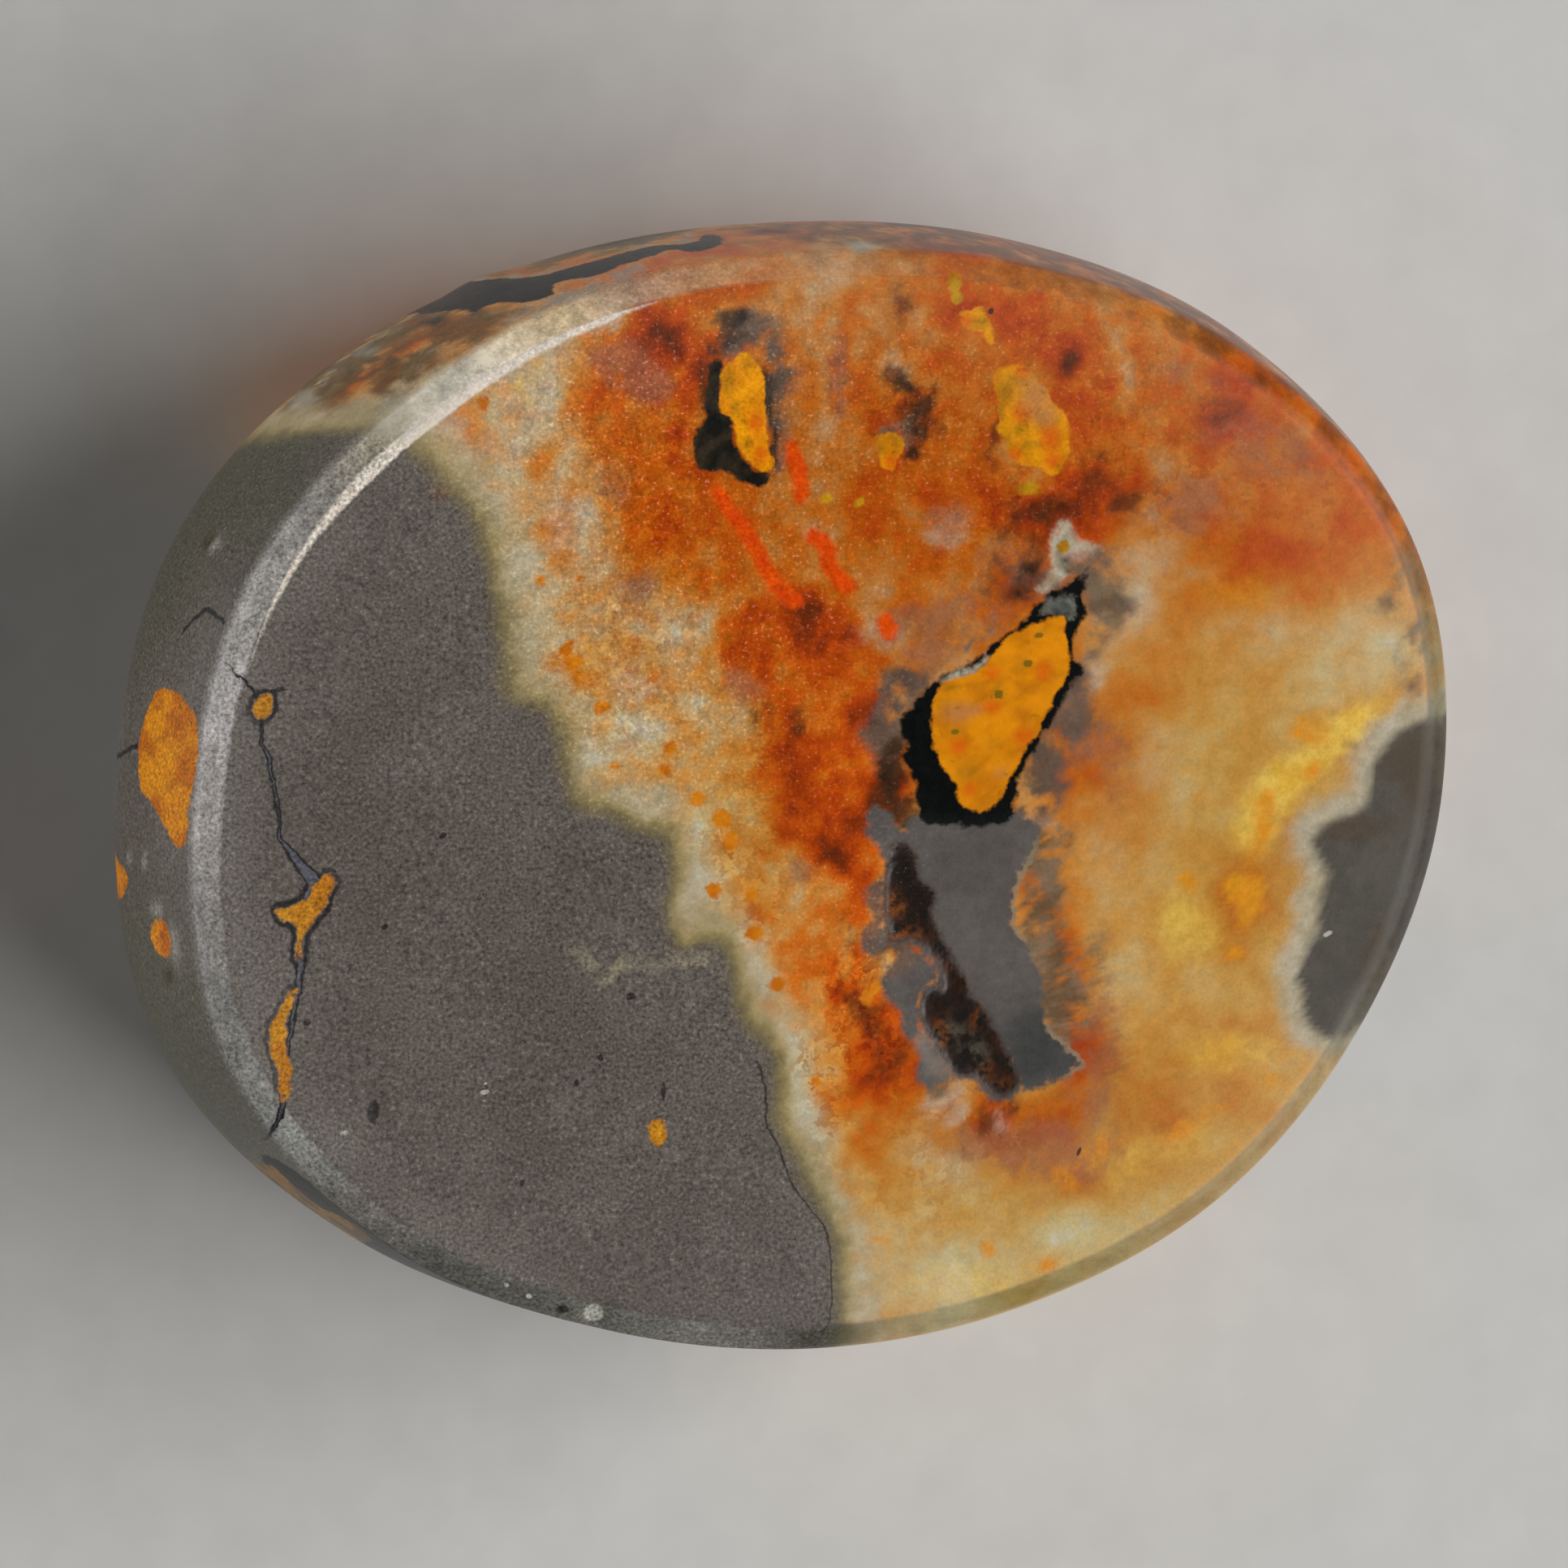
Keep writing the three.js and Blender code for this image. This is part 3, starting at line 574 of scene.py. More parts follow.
# Slate
# The grey host rock fills the left of the stone and comes back as a bay at the right rim. It is fine
# in grain, paler towards the left rim and olive on the side. The main body fades through olive into a cream
# belt of bleached calcite and has a pale vein across it, and the bay has a whitish rind.
MAIN_SLATE = (
    (-27, 21), (-22, 18), (-19, 16.6), (-17.8, 15.8), (-17, 14.9), (-16.3, 14.1), (-15.6, 13.2),
    (-15.1, 12.2), (-14.8, 11), (-14.5, 9.8), (-14.3, 8.6), (-14.1, 7.4), (-13.9, 6.2), (-13.8, 5.2),
    (-13.2, 4.7), (-12.5, 4.6), (-12, 4.1), (-11.7, 3.2), (-11.5, 2.2), (-11.3, 1.2), (-10.8, 0.4),
    (-10, 0), (-9.2, -0.3), (-8.4, -0.8), (-7.5, -0.95), (-6.9, -1.3), (-6.7, -2.2), (-6.7, -3.4),
    (-6.75, -4.6), (-6.6, -5.6), (-6.2, -6.1), (-5.5, -5.9), (-4.8, -5.9), (-4.3, -6.5), (-4.05, -7.4),
    (-3.8, -8.4), (-3.5, -9.3), (-2.9, -10), (-2.4, -10.7), (-2.1, -11.6), (-2, -12.6), (-2, -13.6),
    (-1.7, -14.4), (-1.25, -15.2), (-1, -16), (-0.7, -16.8), (-0.2, -17.6), (0.4, -18.4), (0.75, -19.3),
    (0.85, -20.4), (0.85, -22), (0.85, -24), (0.9, -27), (-15, -31), (-33, -22), (-36, 2))
SLATE_BAY = (
    (30.5, 4), (28.4, 3.5), (27.2, 3.3), (26.3, 2.8), (25.7, 2.2), (25.2, 1.5), (24.9, 0.8), (24.6, 0.1),
    (24.2, -0.6), (23.4, -0.9), (22.6, -1.3), (22.1, -1.9), (22.1, -2.4), (22.5, -3), (22.8, -3.7),
    (22.6, -4.3), (22.4, -5), (22.3, -5.8), (22, -6.6), (21.8, -7.3), (21.6, -7.9), (21.7, -8.8),
    (21.8, -9.6), (22.1, -10.3), (22.7, -10.7), (23.3, -10.9), (24, -10.6), (24.8, -10.4), (27, -10.5),
    (33, -8))
PALE_VEIN = (
    (-11.3, -6.3), (-10.6, -6.6), (-10.2, -7.4), (-9.9, -7.7), (-9, -6.8), (-8, -7), (-7.4, -7.1),
    (-6.8, -6.8), (-6, -6.9), (-5.5, -6.8))
SLATE_TONES = (paint(107, 99, 92), paint(99, 91, 84))
BAY_TONES = (paint(81, 76, 66), paint(72, 66, 57))
RIND_TONES = (paint(176, 162, 130), paint(188, 176, 150))
CREAM_TONES = (paint(178, 158, 118), paint(204, 192, 162))
CREAM_REACH = 1.6
OLIVE_TONES = (paint(174, 158, 116), paint(178, 156, 104))
DARK_OLIVE = paint(132, 118, 78)
PALE_VEIN_COLOUR = paint(140, 130, 110)
RUSTY_DOT = (-16.7, 13.8, 0.5, 0.3)
SIDE_SLATE_OLIVE = ((150, 13, 4, 6), (162, 11, 5, 5, 0, 0.7), (192, 11, 4, 8, 0, 0.5), (205, 12, 6, 8))
BAY_BROWN = ((27.4, 1, 1.2, 2.4), (24, -1.6, 1.6, 0.6), (27, 1.5, 1.5, 1), (25.5, -7.5, 0.8, 1.5))
SLATE_PALING = (
    (-26, 5, 2, 4, 0, 0.7), (-26.8, -3, 1.6, 5), (-26, -9.5, 2.6, 4), (-22.6, -14.6, 2, 1.6),
    (-17.5, -18.4, 1.4, 1, -40, 0.6), (-22.4, 10.6, 1, 3, -40, 0.6), (-14, -20.6, 3, 0.9, -22, 0.6),
    (-16.5, 3.4, 3, 1.6, 34, 0.4))
SIDE_DOTS = (
    (192, 16.9, 0.8, 0.4), (189, 15.6, 0.3, 0.6), (185, 12.4, 0.3, 0.3), (185, 14.5, 0.3, 0.3),
    (156.8, 15.1, 0.4, 0.3))
SIDE_DARK_DOTS = ((156.8, 14.3, 0.4, 0.35), (194.8, 15.8, 0.3, 0.4))


def stained(colour, *marks):
    """A mineral's colour with marks laid over it, each a paint and its share."""
    for mark, share in marks:
        colour = blend(colour, paint(*mark), share)
    return colour


slate_gap = inside_distance(MAIN_SLATE)
slate_edge = slate_gap + 0.25 * grainy(1.2)
slate_share = ramp(slate_edge, 0.1, -0.8)
cream_colour = clouded(*CREAM_TONES, 1.6)
wash(0.8 * np.exp2(-((np.clip(slate_gap, 0, None) / CREAM_REACH) ** 3)), cream_colour, breakup=0.8)
olive_reach = np.interp(lay[:, 1], (0, 8), (0.9, 1.4))
cover(ramp(slate_edge, olive_reach, 0.1), clouded(*OLIVE_TONES))
cover(ramp(slate_edge, 0.45, -0.25), DARK_OLIVE)
slate_colour = stained(
    clouded(*SLATE_TONES, 4.0),
    ((118, 111, 104), stain(SLATE_PALING)),
    ((84, 82, 66), side_stain(SIDE_SLATE_OLIVE)),
    ((122, 78, 52), 0.6 * stain([RUSTY_DOT])),
    ((150, 146, 138), side_stain(SIDE_DOTS)),
    ((66, 50, 18), side_stain(SIDE_DARK_DOTS)))
cover(slate_share, slate_colour)
pale_vein = ramp(distance_to(np.array(PALE_VEIN), lay) + 0.1 * depth, 0.5, 0.1)
wash(0.62 * pale_vein, PALE_VEIN_COLOUR, breakup=1.0, softness=0.5, size=0.8)
bay_gap = inside_distance(SLATE_BAY) + 0.25 * clouds(1.2)
cover(ramp(bay_gap + 0.3 * clouds(1.6), 1.4, 0.4), clouded(*RIND_TONES, 1.6))
bay_colour = stained(clouded(*BAY_TONES, 1.6), ((74, 59, 40), stain(BAY_BROWN)))
cover(ramp(bay_gap, 0.25, -0.35), bay_colour)

# Frosted bevel, with painted sheen and painted shade
# Handling has frosted the upper bevel. From the top round to the left its paleness is painted sheen, the
# reflection of light along it, which keeps a trace of each mineral it crosses. On the right the pattern runs
# on through it, darkened by painted shade, and along the top it is lightened by painted light.
# The rows give an azimuth in degrees, then a colour or an amount.
BEVEL_SHEEN_AND_SHADE_PAINTS = (
    (0, 72, 66, 58), (6, 90, 86, 70), (11, 112, 124, 96), (20, 146, 104, 58), (30, 184, 90, 26),
    (40, 166, 78, 18), (50, 182, 104, 36), (60, 226, 160, 98), (70, 236, 132, 68), (80, 202, 144, 96),
    (90, 214, 162, 124), (100, 216, 162, 114), (110, 194, 162, 138), (120, 255, 228, 182),
    (131, 255, 248, 228), (141, 184, 174, 152), (150, 168, 164, 158), (160, 194, 189, 183),
    (170, 214, 208, 205), (180, 206, 199, 194), (190, 160, 155, 152), (200, 156, 154, 147),
    (210, 164, 164, 159), (220, 136, 132, 124), (230, 100, 98, 92), (245, 106, 107, 98),
    (260, 138, 135, 130), (268, 78, 78, 66), (273, 78, 78, 66), (276, 158, 152, 122), (284, 156, 154, 120),
    (292, 130, 114, 60), (300, 132, 124, 86), (310, 146, 134, 104), (330, 150, 150, 122),
    (336, 124, 118, 100), (341, 86, 81, 72), (360, 66, 61, 54))
FROST_AND_SHEEN_BY_AZIMUTH = (
    (0, 0.5), (14, 0.5), (24, 0.3), (85, 0.35), (100, 0.6), (114, 0.92), (230, 0.92), (250, 0.75),
    (290, 0.65), (320, 0.45), (360, 0.5))
PAINTED_RIM_LIGHT_AND_SHADE_BY_AZIMUTH = (
    (0, 0.6), (14, 0.62), (24, 0.9), (34, 1.1), (50, 1.15), (64, 1.25), (80, 1.15), (110, 1), (250, 1),
    (280, 0.8), (320, 0.66), (360, 0.6))


def by_azimuth(rows):
    """Amounts given at some azimuths, with straight steps in between."""
    return np.interp(azimuth, *zip(*rows))


bevel_share = np.clip((points[:, 2] - UPPER_RIM_HEIGHT) / UPPER_BEVEL_DROP, -1, 2)
on_bevel = ramp(bevel_share, 1.02, 0.9) * ramp(bevel_share, -0.06, 0.06)
# Painted shade darkens the bevel on the right and painted light brightens it along the top.
ground *= (1 - on_bevel * (1 - by_azimuth(PAINTED_RIM_LIGHT_AND_SHADE_BY_AZIMUTH)))[:, None]
# Painted sheen: a pale cover over the bevel from the top round to the left, darker paint on the right.
frost_and_sheen = on_bevel * by_azimuth(FROST_AND_SHEEN_BY_AZIMUTH)
bevel_sheen_and_shade_colour = scaled(BEVEL_SHEEN_AND_SHADE_PAINTS, azimuth) * (1 + 0.3 * clouds(0.8, 2)[:, None])
cover(frost_and_sheen * (1 + 0.12 * grainy(0.6)), bevel_sheen_and_shade_colour)

# The jasper's one material
# The material joins the ground to the minerals with sharp edges, whose distances and colours are stored on
# the skin. One fine noise breaks up every edge into crystals, and where the calcite is mottled whole grains
# stand out paler or redder than their neighbours.
CRYSTALS_PER_MM = 1.9
CRYSTAL_SPREAD = 2.5
FINE_GRAINS_PER_MM = 6.4
FINE_GRAIN_SPREAD = 3.2
WHOLE_GRAINS_PER_MM = 2.3
WHOLE_GRAIN_TINT = (0.7, 1.3, 1.6)
GOLDEN_SHARE = 0.618
GOLDEN_TURN = np.pi * (3 - np.sqrt(5))

jasper = bpy.data.materials.new("polished_bumblebee_jasper")
jasper.use_nodes = True
tree = jasper.node_tree
tree.nodes.clear()
mesh.materials.append(jasper)


def put(tree, kind, inputs=None, **settings):
    """Add a node to a tree: settings are its own properties, and inputs are values or sockets that feed
    it."""
    node = tree.nodes.new(kind)
    for name, value in settings.items():
        setattr(node, name, value)
    for name, value in (inputs or {}).items():
        if isinstance(value, bpy.types.NodeSocket):
            tree.links.new(value, node.inputs[name])
        elif node.inputs[name].type == "RGBA":
            node.inputs[name].default_value = (*value, 1.0)
        else:
            node.inputs[name].default_value = value
    return node


def reckon(tree, operation, *values):
    """The output of one Math node."""
    return put(tree, "ShaderNodeMath", dict(enumerate(values)), operation=operation).outputs[0]


def reckon_each(operation, *values):
    """The output of one Vector Math node, which reckons with three numbers at once."""
    return put(tree, "ShaderNodeVectorMath", dict(enumerate(values)), operation=operation).outputs[0]


def slope(tree, value, start, end):
    """0 at start, 1 at end and a smooth step between, whichever of the two is larger."""
    inputs = {"Value": value, "From Min": start, "From Max": end}
    return put(tree, "ShaderNodeMapRange", inputs, interpolation_type="SMOOTHSTEP").outputs[0]


def noise(tree, place, scale, detail=2.0, output="Fac"):
    """A noise texture, in one number or as a colour of three."""
    inputs = {"Vector": place, "Scale": scale, "Detail": detail, "Roughness": 0.62}
    return put(tree, "ShaderNodeTexNoise", inputs).outputs[output]


def stored(name, values):
    """Store one number, or three, for each point of the skin and give the socket that reads them back."""
    if values.ndim == 1:
        kind, field, output = "FLOAT", "value", "Fac"
    else:
        kind, field, output = "FLOAT_VECTOR", "vector", "Vector"
    mesh.attributes.new(name, kind, "POINT").data.foreach_set(field, values.astype(np.float32).ravel())
    return put(tree, "ShaderNodeAttribute", attribute_name=name).outputs[output]


ragged_edge = bpy.data.node_groups.new("Ragged edge", "ShaderNodeTree")
for label in ("Distance", "Noise", "Wander", "Softness"):
    ragged_edge.interface.new_socket(label, in_out="INPUT", socket_type="NodeSocketFloat")
for label in ("Inside", "Distance"):
    ragged_edge.interface.new_socket(label, in_out="OUTPUT", socket_type="NodeSocketFloat")
given = ragged_edge.nodes.new("NodeGroupInput").outputs
result = ragged_edge.nodes.new("NodeGroupOutput").inputs
moved = reckon(ragged_edge, "MULTIPLY_ADD", given["Noise"], given["Wander"], given["Distance"])
inner = reckon(ragged_edge, "MULTIPLY", given["Softness"], -1.0)
ragged_edge.links.new(slope(ragged_edge, moved, given["Softness"], inner), result["Inside"])
ragged_edge.links.new(moved, result["Distance"])

object_place = put(tree, "ShaderNodeTexCoord").outputs["Object"]
to_mm = {0: object_place, "Scale": 1 / MM}
place = put(tree, "ShaderNodeVectorMath", to_mm, operation="SCALE").outputs[0]
raw_crystals = noise(tree, place, CRYSTALS_PER_MM, output="Color")
crystals = reckon_each("MULTIPLY_ADD", raw_crystals, (CRYSTAL_SPREAD,) * 3, (-CRYSTAL_SPREAD / 2,) * 3)
raw_grain = noise(tree, place, FINE_GRAINS_PER_MM)
fine_grain = reckon(tree, "MULTIPLY_ADD", raw_grain, FINE_GRAIN_SPREAD, -FINE_GRAIN_SPREAD / 2)
layer_numbers = itertools.count(1)


def crystal_noise(strength=1.0):
    """Noise of one layer's own, round 0 and seldom beyond 0.5 either way: the shared crystals seen along
    a direction that the layer's number gives, where the numbers spread over a sphere by the golden angle."""
    number = next(layer_numbers)
    rise, turn = 1 - 2 * (number * GOLDEN_SHARE % 1), number * GOLDEN_TURN
    level = np.sqrt(1 - rise**2)
    direction = strength * np.array([level * np.cos(turn), level * np.sin(turn), rise])
    inputs = {0: crystals, 1: direction}
    return put(tree, "ShaderNodeVectorMath", inputs, operation="DOT_PRODUCT").outputs["Value"]


def ragged(distance, wander, softness):
    """The ragged inside of a mineral, 0 to 1, and its ragged distance, from its smooth distance."""
    inputs = {"Distance": distance, "Noise": crystal_noise(), "Wander": wander, "Softness": softness}
    return put(tree, "ShaderNodeGroup", inputs, node_tree=ragged_edge).outputs


def over(mask, top, under):
    """One colour laid over another where the mask is 1."""
    return put(tree, "ShaderNodeMix", {0: mask, 6: under, 7: top}, data_type="RGBA").outputs[2]


def both(*masks):
    """Masks multiplied together."""
    product = masks[0]
    for mask in masks[1:]:
        product = reckon(tree, "MULTIPLY", product, mask)
    return product


MOTTLED = (
    (2.2, -10.2, 1.8, 2.8), (1.2, -8, 1.4, 1.2), (-0.4, -12.6, 1, 3.4, 8, 0.7), (-4, -3.4, 1.2, 3, 20, 0.6),
    (-1, 2, 3.4, 6, 0, 0.45), (-7.4, 15, 4, 6, 0, 0.5), (9, 12.6, 3.4, 1.6, 0, 0.6),
    (3.6, 17, 2, 3, 0, 0.5), (11, 17.6, 3, 4, 0, 0.4), (7, -14.4, 3, 1.4, 0, 0.5),
    (18, 14, 7, 4, -20, 0.35), (-9, 6, 3, 4, 0, 0.5), (4.6, -17, 3, 2, 0, 0.3))

on_crystal = slope(tree, crystal_noise(), -0.4, 0.4)
on_crystals = stored("ground_on_crystals", ground[1])
colour = over(on_crystal, on_crystals, stored("ground_between_crystals", ground[0]))
shaken = reckon_each("MULTIPLY_ADD", crystals, (0.5, 0.5, 0.5), place)
whole_grains = {"Vector": shaken, "Scale": WHOLE_GRAINS_PER_MM}
grain_shade = put(tree, "ShaderNodeTexVoronoi", whole_grains).outputs["Color"]
mottling = stored("mottling", stain(MOTTLED) * (1 - slate_share[0]))
grain_tone = both(reckon(tree, "ADD", grain_shade, -0.5), mottling)
grain_tint = reckon_each("MULTIPLY_ADD", grain_tone, WHOLE_GRAIN_TINT, (1.0, 1.0, 1.0))
colour = reckon_each("MULTIPLY", colour, grain_tint)

# Ash-grey patches
# Smaller pieces of the grey rock lie below the eye, with ragged edges. A pale line of calcite follows the
# eastern edge of the largest piece.
ASH_BELOW_EYE = (
    (4, -0.7), (6, -0.7), (8.2, -0.7), (9.2, -1), (9.5, -1.5), (9.2, -2.6), (8.7, -3.4), (8.4, -4.6),
    (8.4, -5.6), (8.9, -6.3), (9.4, -7), (9.7, -7.8), (9.8, -8.6), (9.85, -9.6), (10.1, -10.4),
    (10.8, -10.9), (11.3, -11.4), (11.7, -11.8), (11.2, -12.2), (10.4, -12.6), (9.6, -12.9), (8.9, -12.8),
    (8.4, -12.2), (8.1, -11.2), (7.6, -10.4), (7, -9.4), (6.4, -8.4), (5.9, -7.6), (5.4, -6.8), (4.9, -5.8),
    (4.6, -4.8), (4.1, -3.6), (3.7, -2.6), (3.4, -1.8), (3.6, -1.2))
ASH_CHIPS = (
    ((1.8, -0.6), (2.3, -0.3), (2.9, -0.8), (3.3, -1.3), (3.6, -1.8), (3, -2.4), (2.5, -2.6), (2.1, -1.9),
     (1.8, -1.3)),
    ((2, -3.6), (2.5, -3.9), (2.4, -4.8), (2.6, -5.6), (2.7, -6.4), (2.2, -6.8), (1.6, -6.4), (1.5, -6),
     (2, -5.2), (1.7, -4.4)),
    ((2.8, -7.2), (3.6, -6.6), (4.6, -7), (5, -7.6), (4.6, -8.2), (4.2, -9), (4.2, -9.9), (4.7, -10.6),
     (5.2, -11.3), (5.6, -12), (5.4, -12.6), (4.6, -12.8), (4, -12.4), (4.2, -11.6), (4, -10.8),
     (3.4, -10.2), (3.3, -9.4), (2.6, -8.6), (2.4, -8)))
PALE_LINE = ((9, -4, 1.2, 2.4), (10.6, -11.2, 1.4, 0.8, -30))
ASH_SHADE = ((9.8, -11, 1.6, 1.8, -30),)
PINKISH = ((2.1, -4.8, 0.7, 1.6), (3.2, -7.2, 0.8, 0.5, 0, 0.6), (5.2, -12, 0.5, 0.4, 0, 0.6))
ASH_PALE = ((4.4, -10.8, 0.5, 0.7), (5, -11.8, 0.6, 0.5, 0, 0.7))
ASH_TONES = (paint(101, 95, 90), paint(92, 86, 82))
PALE_LINE_COLOUR = paint(150, 134, 108)


def least(*distances):
    """The smallest of several distances at each place, which joins their outlines."""
    return np.minimum.reduce(distances)


def softly_clouded(first, second, size=2.4):
    """Two colours clouded into each other, for a mineral without crystals."""
    return blend(first, second, ramp(clouds(size), *CLOUD_RANGE))


ash_gap = least(inside_distance(ASH_BELOW_EYE), *map(inside_distance, ASH_CHIPS)) + MARK_FADE * depth
ash_gap = least(ash_gap + 0.06 * clouds(0.9, 2), crevice_distance - 0.28)
ash_colour = stained(
    softly_clouded(*ASH_TONES),
    ((64, 65, 63), stain(ASH_SHADE)),
    ((138, 98, 74), stain(PINKISH)),
    ((136, 126, 116), stain(ASH_PALE)))
ash_inside, ash_distance = ragged(stored("ash_rock", ash_gap), 0.3, 0.2)
colour = over(ash_inside, stored("ash_colour", ash_colour), colour)
line_distance = reckon(tree, "ABSOLUTE", reckon(tree, "ADD", ash_distance, -0.05))
pale_line = both(slope(tree, line_distance, 0.18, 0.05), stored("pale_line", stain(PALE_LINE)))
colour = over(pale_line, PALE_LINE_COLOUR, colour)

# Black rims
# Black manganese ore lines the ochre: a thick dark skin west and south of the eye, a cap beside the upper
# ochre, and an arch and a band that show only on the side.
BLACK_ROUND_EYE = (
    (11.85, 10.15), (11.75, 9.5), (11.6, 8.9), (11.75, 8.2), (11.6, 7.8), (11.3, 7.3), (11.15, 6.6),
    (11.2, 6), (11.55, 5.7), (11.4, 5.3), (11, 4.9), (10.6, 4.2), (10.2, 3.5), (9.9, 3), (9.5, 2.3),
    (9.1, 1.6), (8.7, 1), (8.5, 0.4), (8.45, -0.3), (8.3, -1), (7.4, -1.25), (6.3, -1.2), (5.2, -1.1),
    (4.3, -1), (4.1, -0.4), (4, 0.4), (3.7, 1.2), (3.3, 1.9), (3.7, 2.3), (3.3, 2.9), (3.3, 3.5),
    (3.8, 4.1), (4.4, 4.8), (4.9, 5.3), (5.6, 5.65), (6.3, 5.9), (7, 6.4), (7.6, 6.9), (8.2, 7.3),
    (8.8, 7.8), (9.2, 8.3), (9.6, 8.8), (10.1, 9.15), (10.7, 9.35), (11.2, 9.7))
BLACK_BY_UPPER_OCHRE = (
    (-4.1, 16.7), (-4.3, 16.9), (-4.9, 17), (-5.5, 16.7), (-5.8, 16.2), (-5.9, 15.5), (-5.8, 14.9),
    (-5.4, 14.4), (-4.9, 14.5), (-4.4, 14.3), (-3.9, 14), (-3.3, 13.85), (-2.8, 13.8), (-2.3, 14.1),
    (-2.4, 14.5), (-3, 14.6), (-3.6, 15), (-3.85, 15.5), (-4, 16.1))
BLACK_STRIPE = (
    (-4.3, 16.6), (-5.2, 16.4), (-5.4, 17), (-5.4, 17.8), (-5.3, 18.6), (-5.1, 19.2), (-4.8, 19.5),
    (-4.4, 19.3), (-4.5, 18.7), (-4.5, 17.8))
BLACK_ARCH = (
    (125.5, 15.5), (123, 15.2), (120.5, 16.8), (118, 17.3), (116.5, 16), (113, 16.8), (110, 16.6),
    (107, 16.2), (104, 15.8), (102.5, 16.8), (100, 16.5), (98.5, 15.2), (98.5, 14), (99.7, 13.5),
    (101, 14.8), (103, 15), (105, 14.2), (110, 14.4), (114, 14.2), (117, 13.9), (119, 12.5), (120.5, 11.2),
    (121.5, 10), (122, 8), (128, 8), (128, 10), (127.5, 12), (126, 13.5), (124.8, 14.5))
BLACK_BAND = (
    (212.5, 16), (213.5, 17.5), (216, 18.3), (220, 18.5), (226, 18.6), (235, 18.7), (245, 18), (248, 15),
    (240, 12), (230, 11), (226, 11.5), (218, 14.6), (214, 14.6))
BROWNISH_BLACK = ((-4.5, 16, 3, 3.5),)
BLACK_ORE_COLOUR = paint(4, 7, 7)
BROWNISH_TONES = (paint(22, 22, 18), paint(58, 48, 34))


def on_chart(knots):
    """Points on the side, given as azimuth in degrees and height, in mm round the side and mm up."""
    return [(turn * ARC_STEP, rise) for turn, rise in knots]


black_faces = least(*map(inside_distance, (BLACK_ROUND_EYE, BLACK_BY_UPPER_OCHRE, BLACK_STRIPE)))
black_sides = least(*(inside_distance(on_chart(line), around) for line in (BLACK_ARCH, BLACK_BAND)))
black_gap = least(black_faces + MARK_FADE * depth, black_sides) + 0.06 * clouds(0.9, 2)
black_inside = ragged(stored("black_ore", black_gap), 0.24, 0.12)["Inside"]
brownish = softly_clouded(*BROWNISH_TONES, 0.8)
black_colour = blend(BLACK_ORE_COLOUR, brownish, stain(BROWNISH_BLACK))
colour = over(black_inside, stored("black_colour", black_colour), colour)

# Grey wedge in the eye's rim
# A splinter of pale grey chalcedony is caught in the black skin above the eye, a greenish fringe of it runs
# down the skin's upper edge, and a cream-grey tuft stands above the tip.
EYE_WEDGE = (
    (9.7, 8.1), (10.1, 8.1), (10.6, 8.1), (11, 7.8), (11.3, 8.2), (11.1, 8.8), (10.6, 8.8), (10.1, 8.7),
    (9.7, 8.4))
EYE_FRINGE = ((5.1, 5.2), (5.8, 5.5), (6.4, 5.7), (7, 6.1), (7.3, 6.3), (7, 5.8), (6.4, 5.4), (5.7, 5.2))
TUFT = (
    (10.6, 12.4), (10.9, 12.2), (11.1, 11.7), (11.3, 11.2), (11.9, 11.1), (12.4, 11.1), (12.1, 10.6),
    (11.5, 10.4), (11.2, 10.2), (10.9, 9.8), (10.4, 9.4), (9.8, 9), (9.5, 9.1), (9.9, 9.6), (10.1, 10.3),
    (10, 11), (10.3, 11.8))
TUFT_TONES = (paint(206, 194, 168), paint(160, 146, 122))
TUFT_PINK = ((11.8, 10.7, 0.6, 0.4),)
TUFT_SHADE = ((10.95, 10, 0.25, 0.3), (10.6, 10.4, 0.2, 0.15))
WEDGE_TONES = (paint(128, 130, 122), paint(74, 80, 76))
WEDGE_PLACE = ((10.6, 8.4, 1, 0.6),)

pale_gap = least(*map(inside_distance, (EYE_WEDGE, EYE_FRINGE, TUFT))) + MARK_FADE * depth
pale_inside = ragged(stored("chalcedony", pale_gap), 0.3, 0.22)["Inside"]
pale_colour = stained(
    softly_clouded(*TUFT_TONES, 0.6),
    ((176, 134, 114), stain(TUFT_PINK)),
    ((62, 56, 44), stain(TUFT_SHADE, lay)))
wedge_colour = softly_clouded(*WEDGE_TONES, 0.6)
pale_colour = blend(pale_colour, wedge_colour, stain(WEDGE_PLACE, lay))
colour = over(pale_inside, stored("chalcedony_colour", pale_colour), colour)

# Ochre
# The bright yellow spots are soft arsenic ochre, flecked with orange and olive. The eye is the largest, the
# mustard ones are thinner and mottled, some lie on the side and the base, and small orange grains dot the
# calcite.
EYE = (
    (10.8, 7.9), (10.3, 8), (9.8, 7.8), (9.2, 7.6), (8.7, 7.3), (8.1, 7.1), (7.8, 6.7), (7.3, 6.2),
    (6.8, 5.7), (6.2, 5.4), (5.5, 5.3), (5, 5), (4.8, 4.4), (4.7, 3.6), (4.7, 3), (4.8, 2.4), (5, 1.8),
    (5.1, 1.4), (5.5, 1), (5.8, 0.6), (5.9, 0.1), (6.1, -0.35), (6.6, -0.55), (7.2, -0.5), (7.6, -0.25),
    (7.9, 0.2), (8.2, 0.8), (8.6, 1.5), (8.9, 2.1), (9.4, 2.7), (9.7, 3.3), (10, 3.9), (10.4, 4.7),
    (10.8, 5.3), (10.95, 6), (10.9, 6.7), (10.7, 7.3))
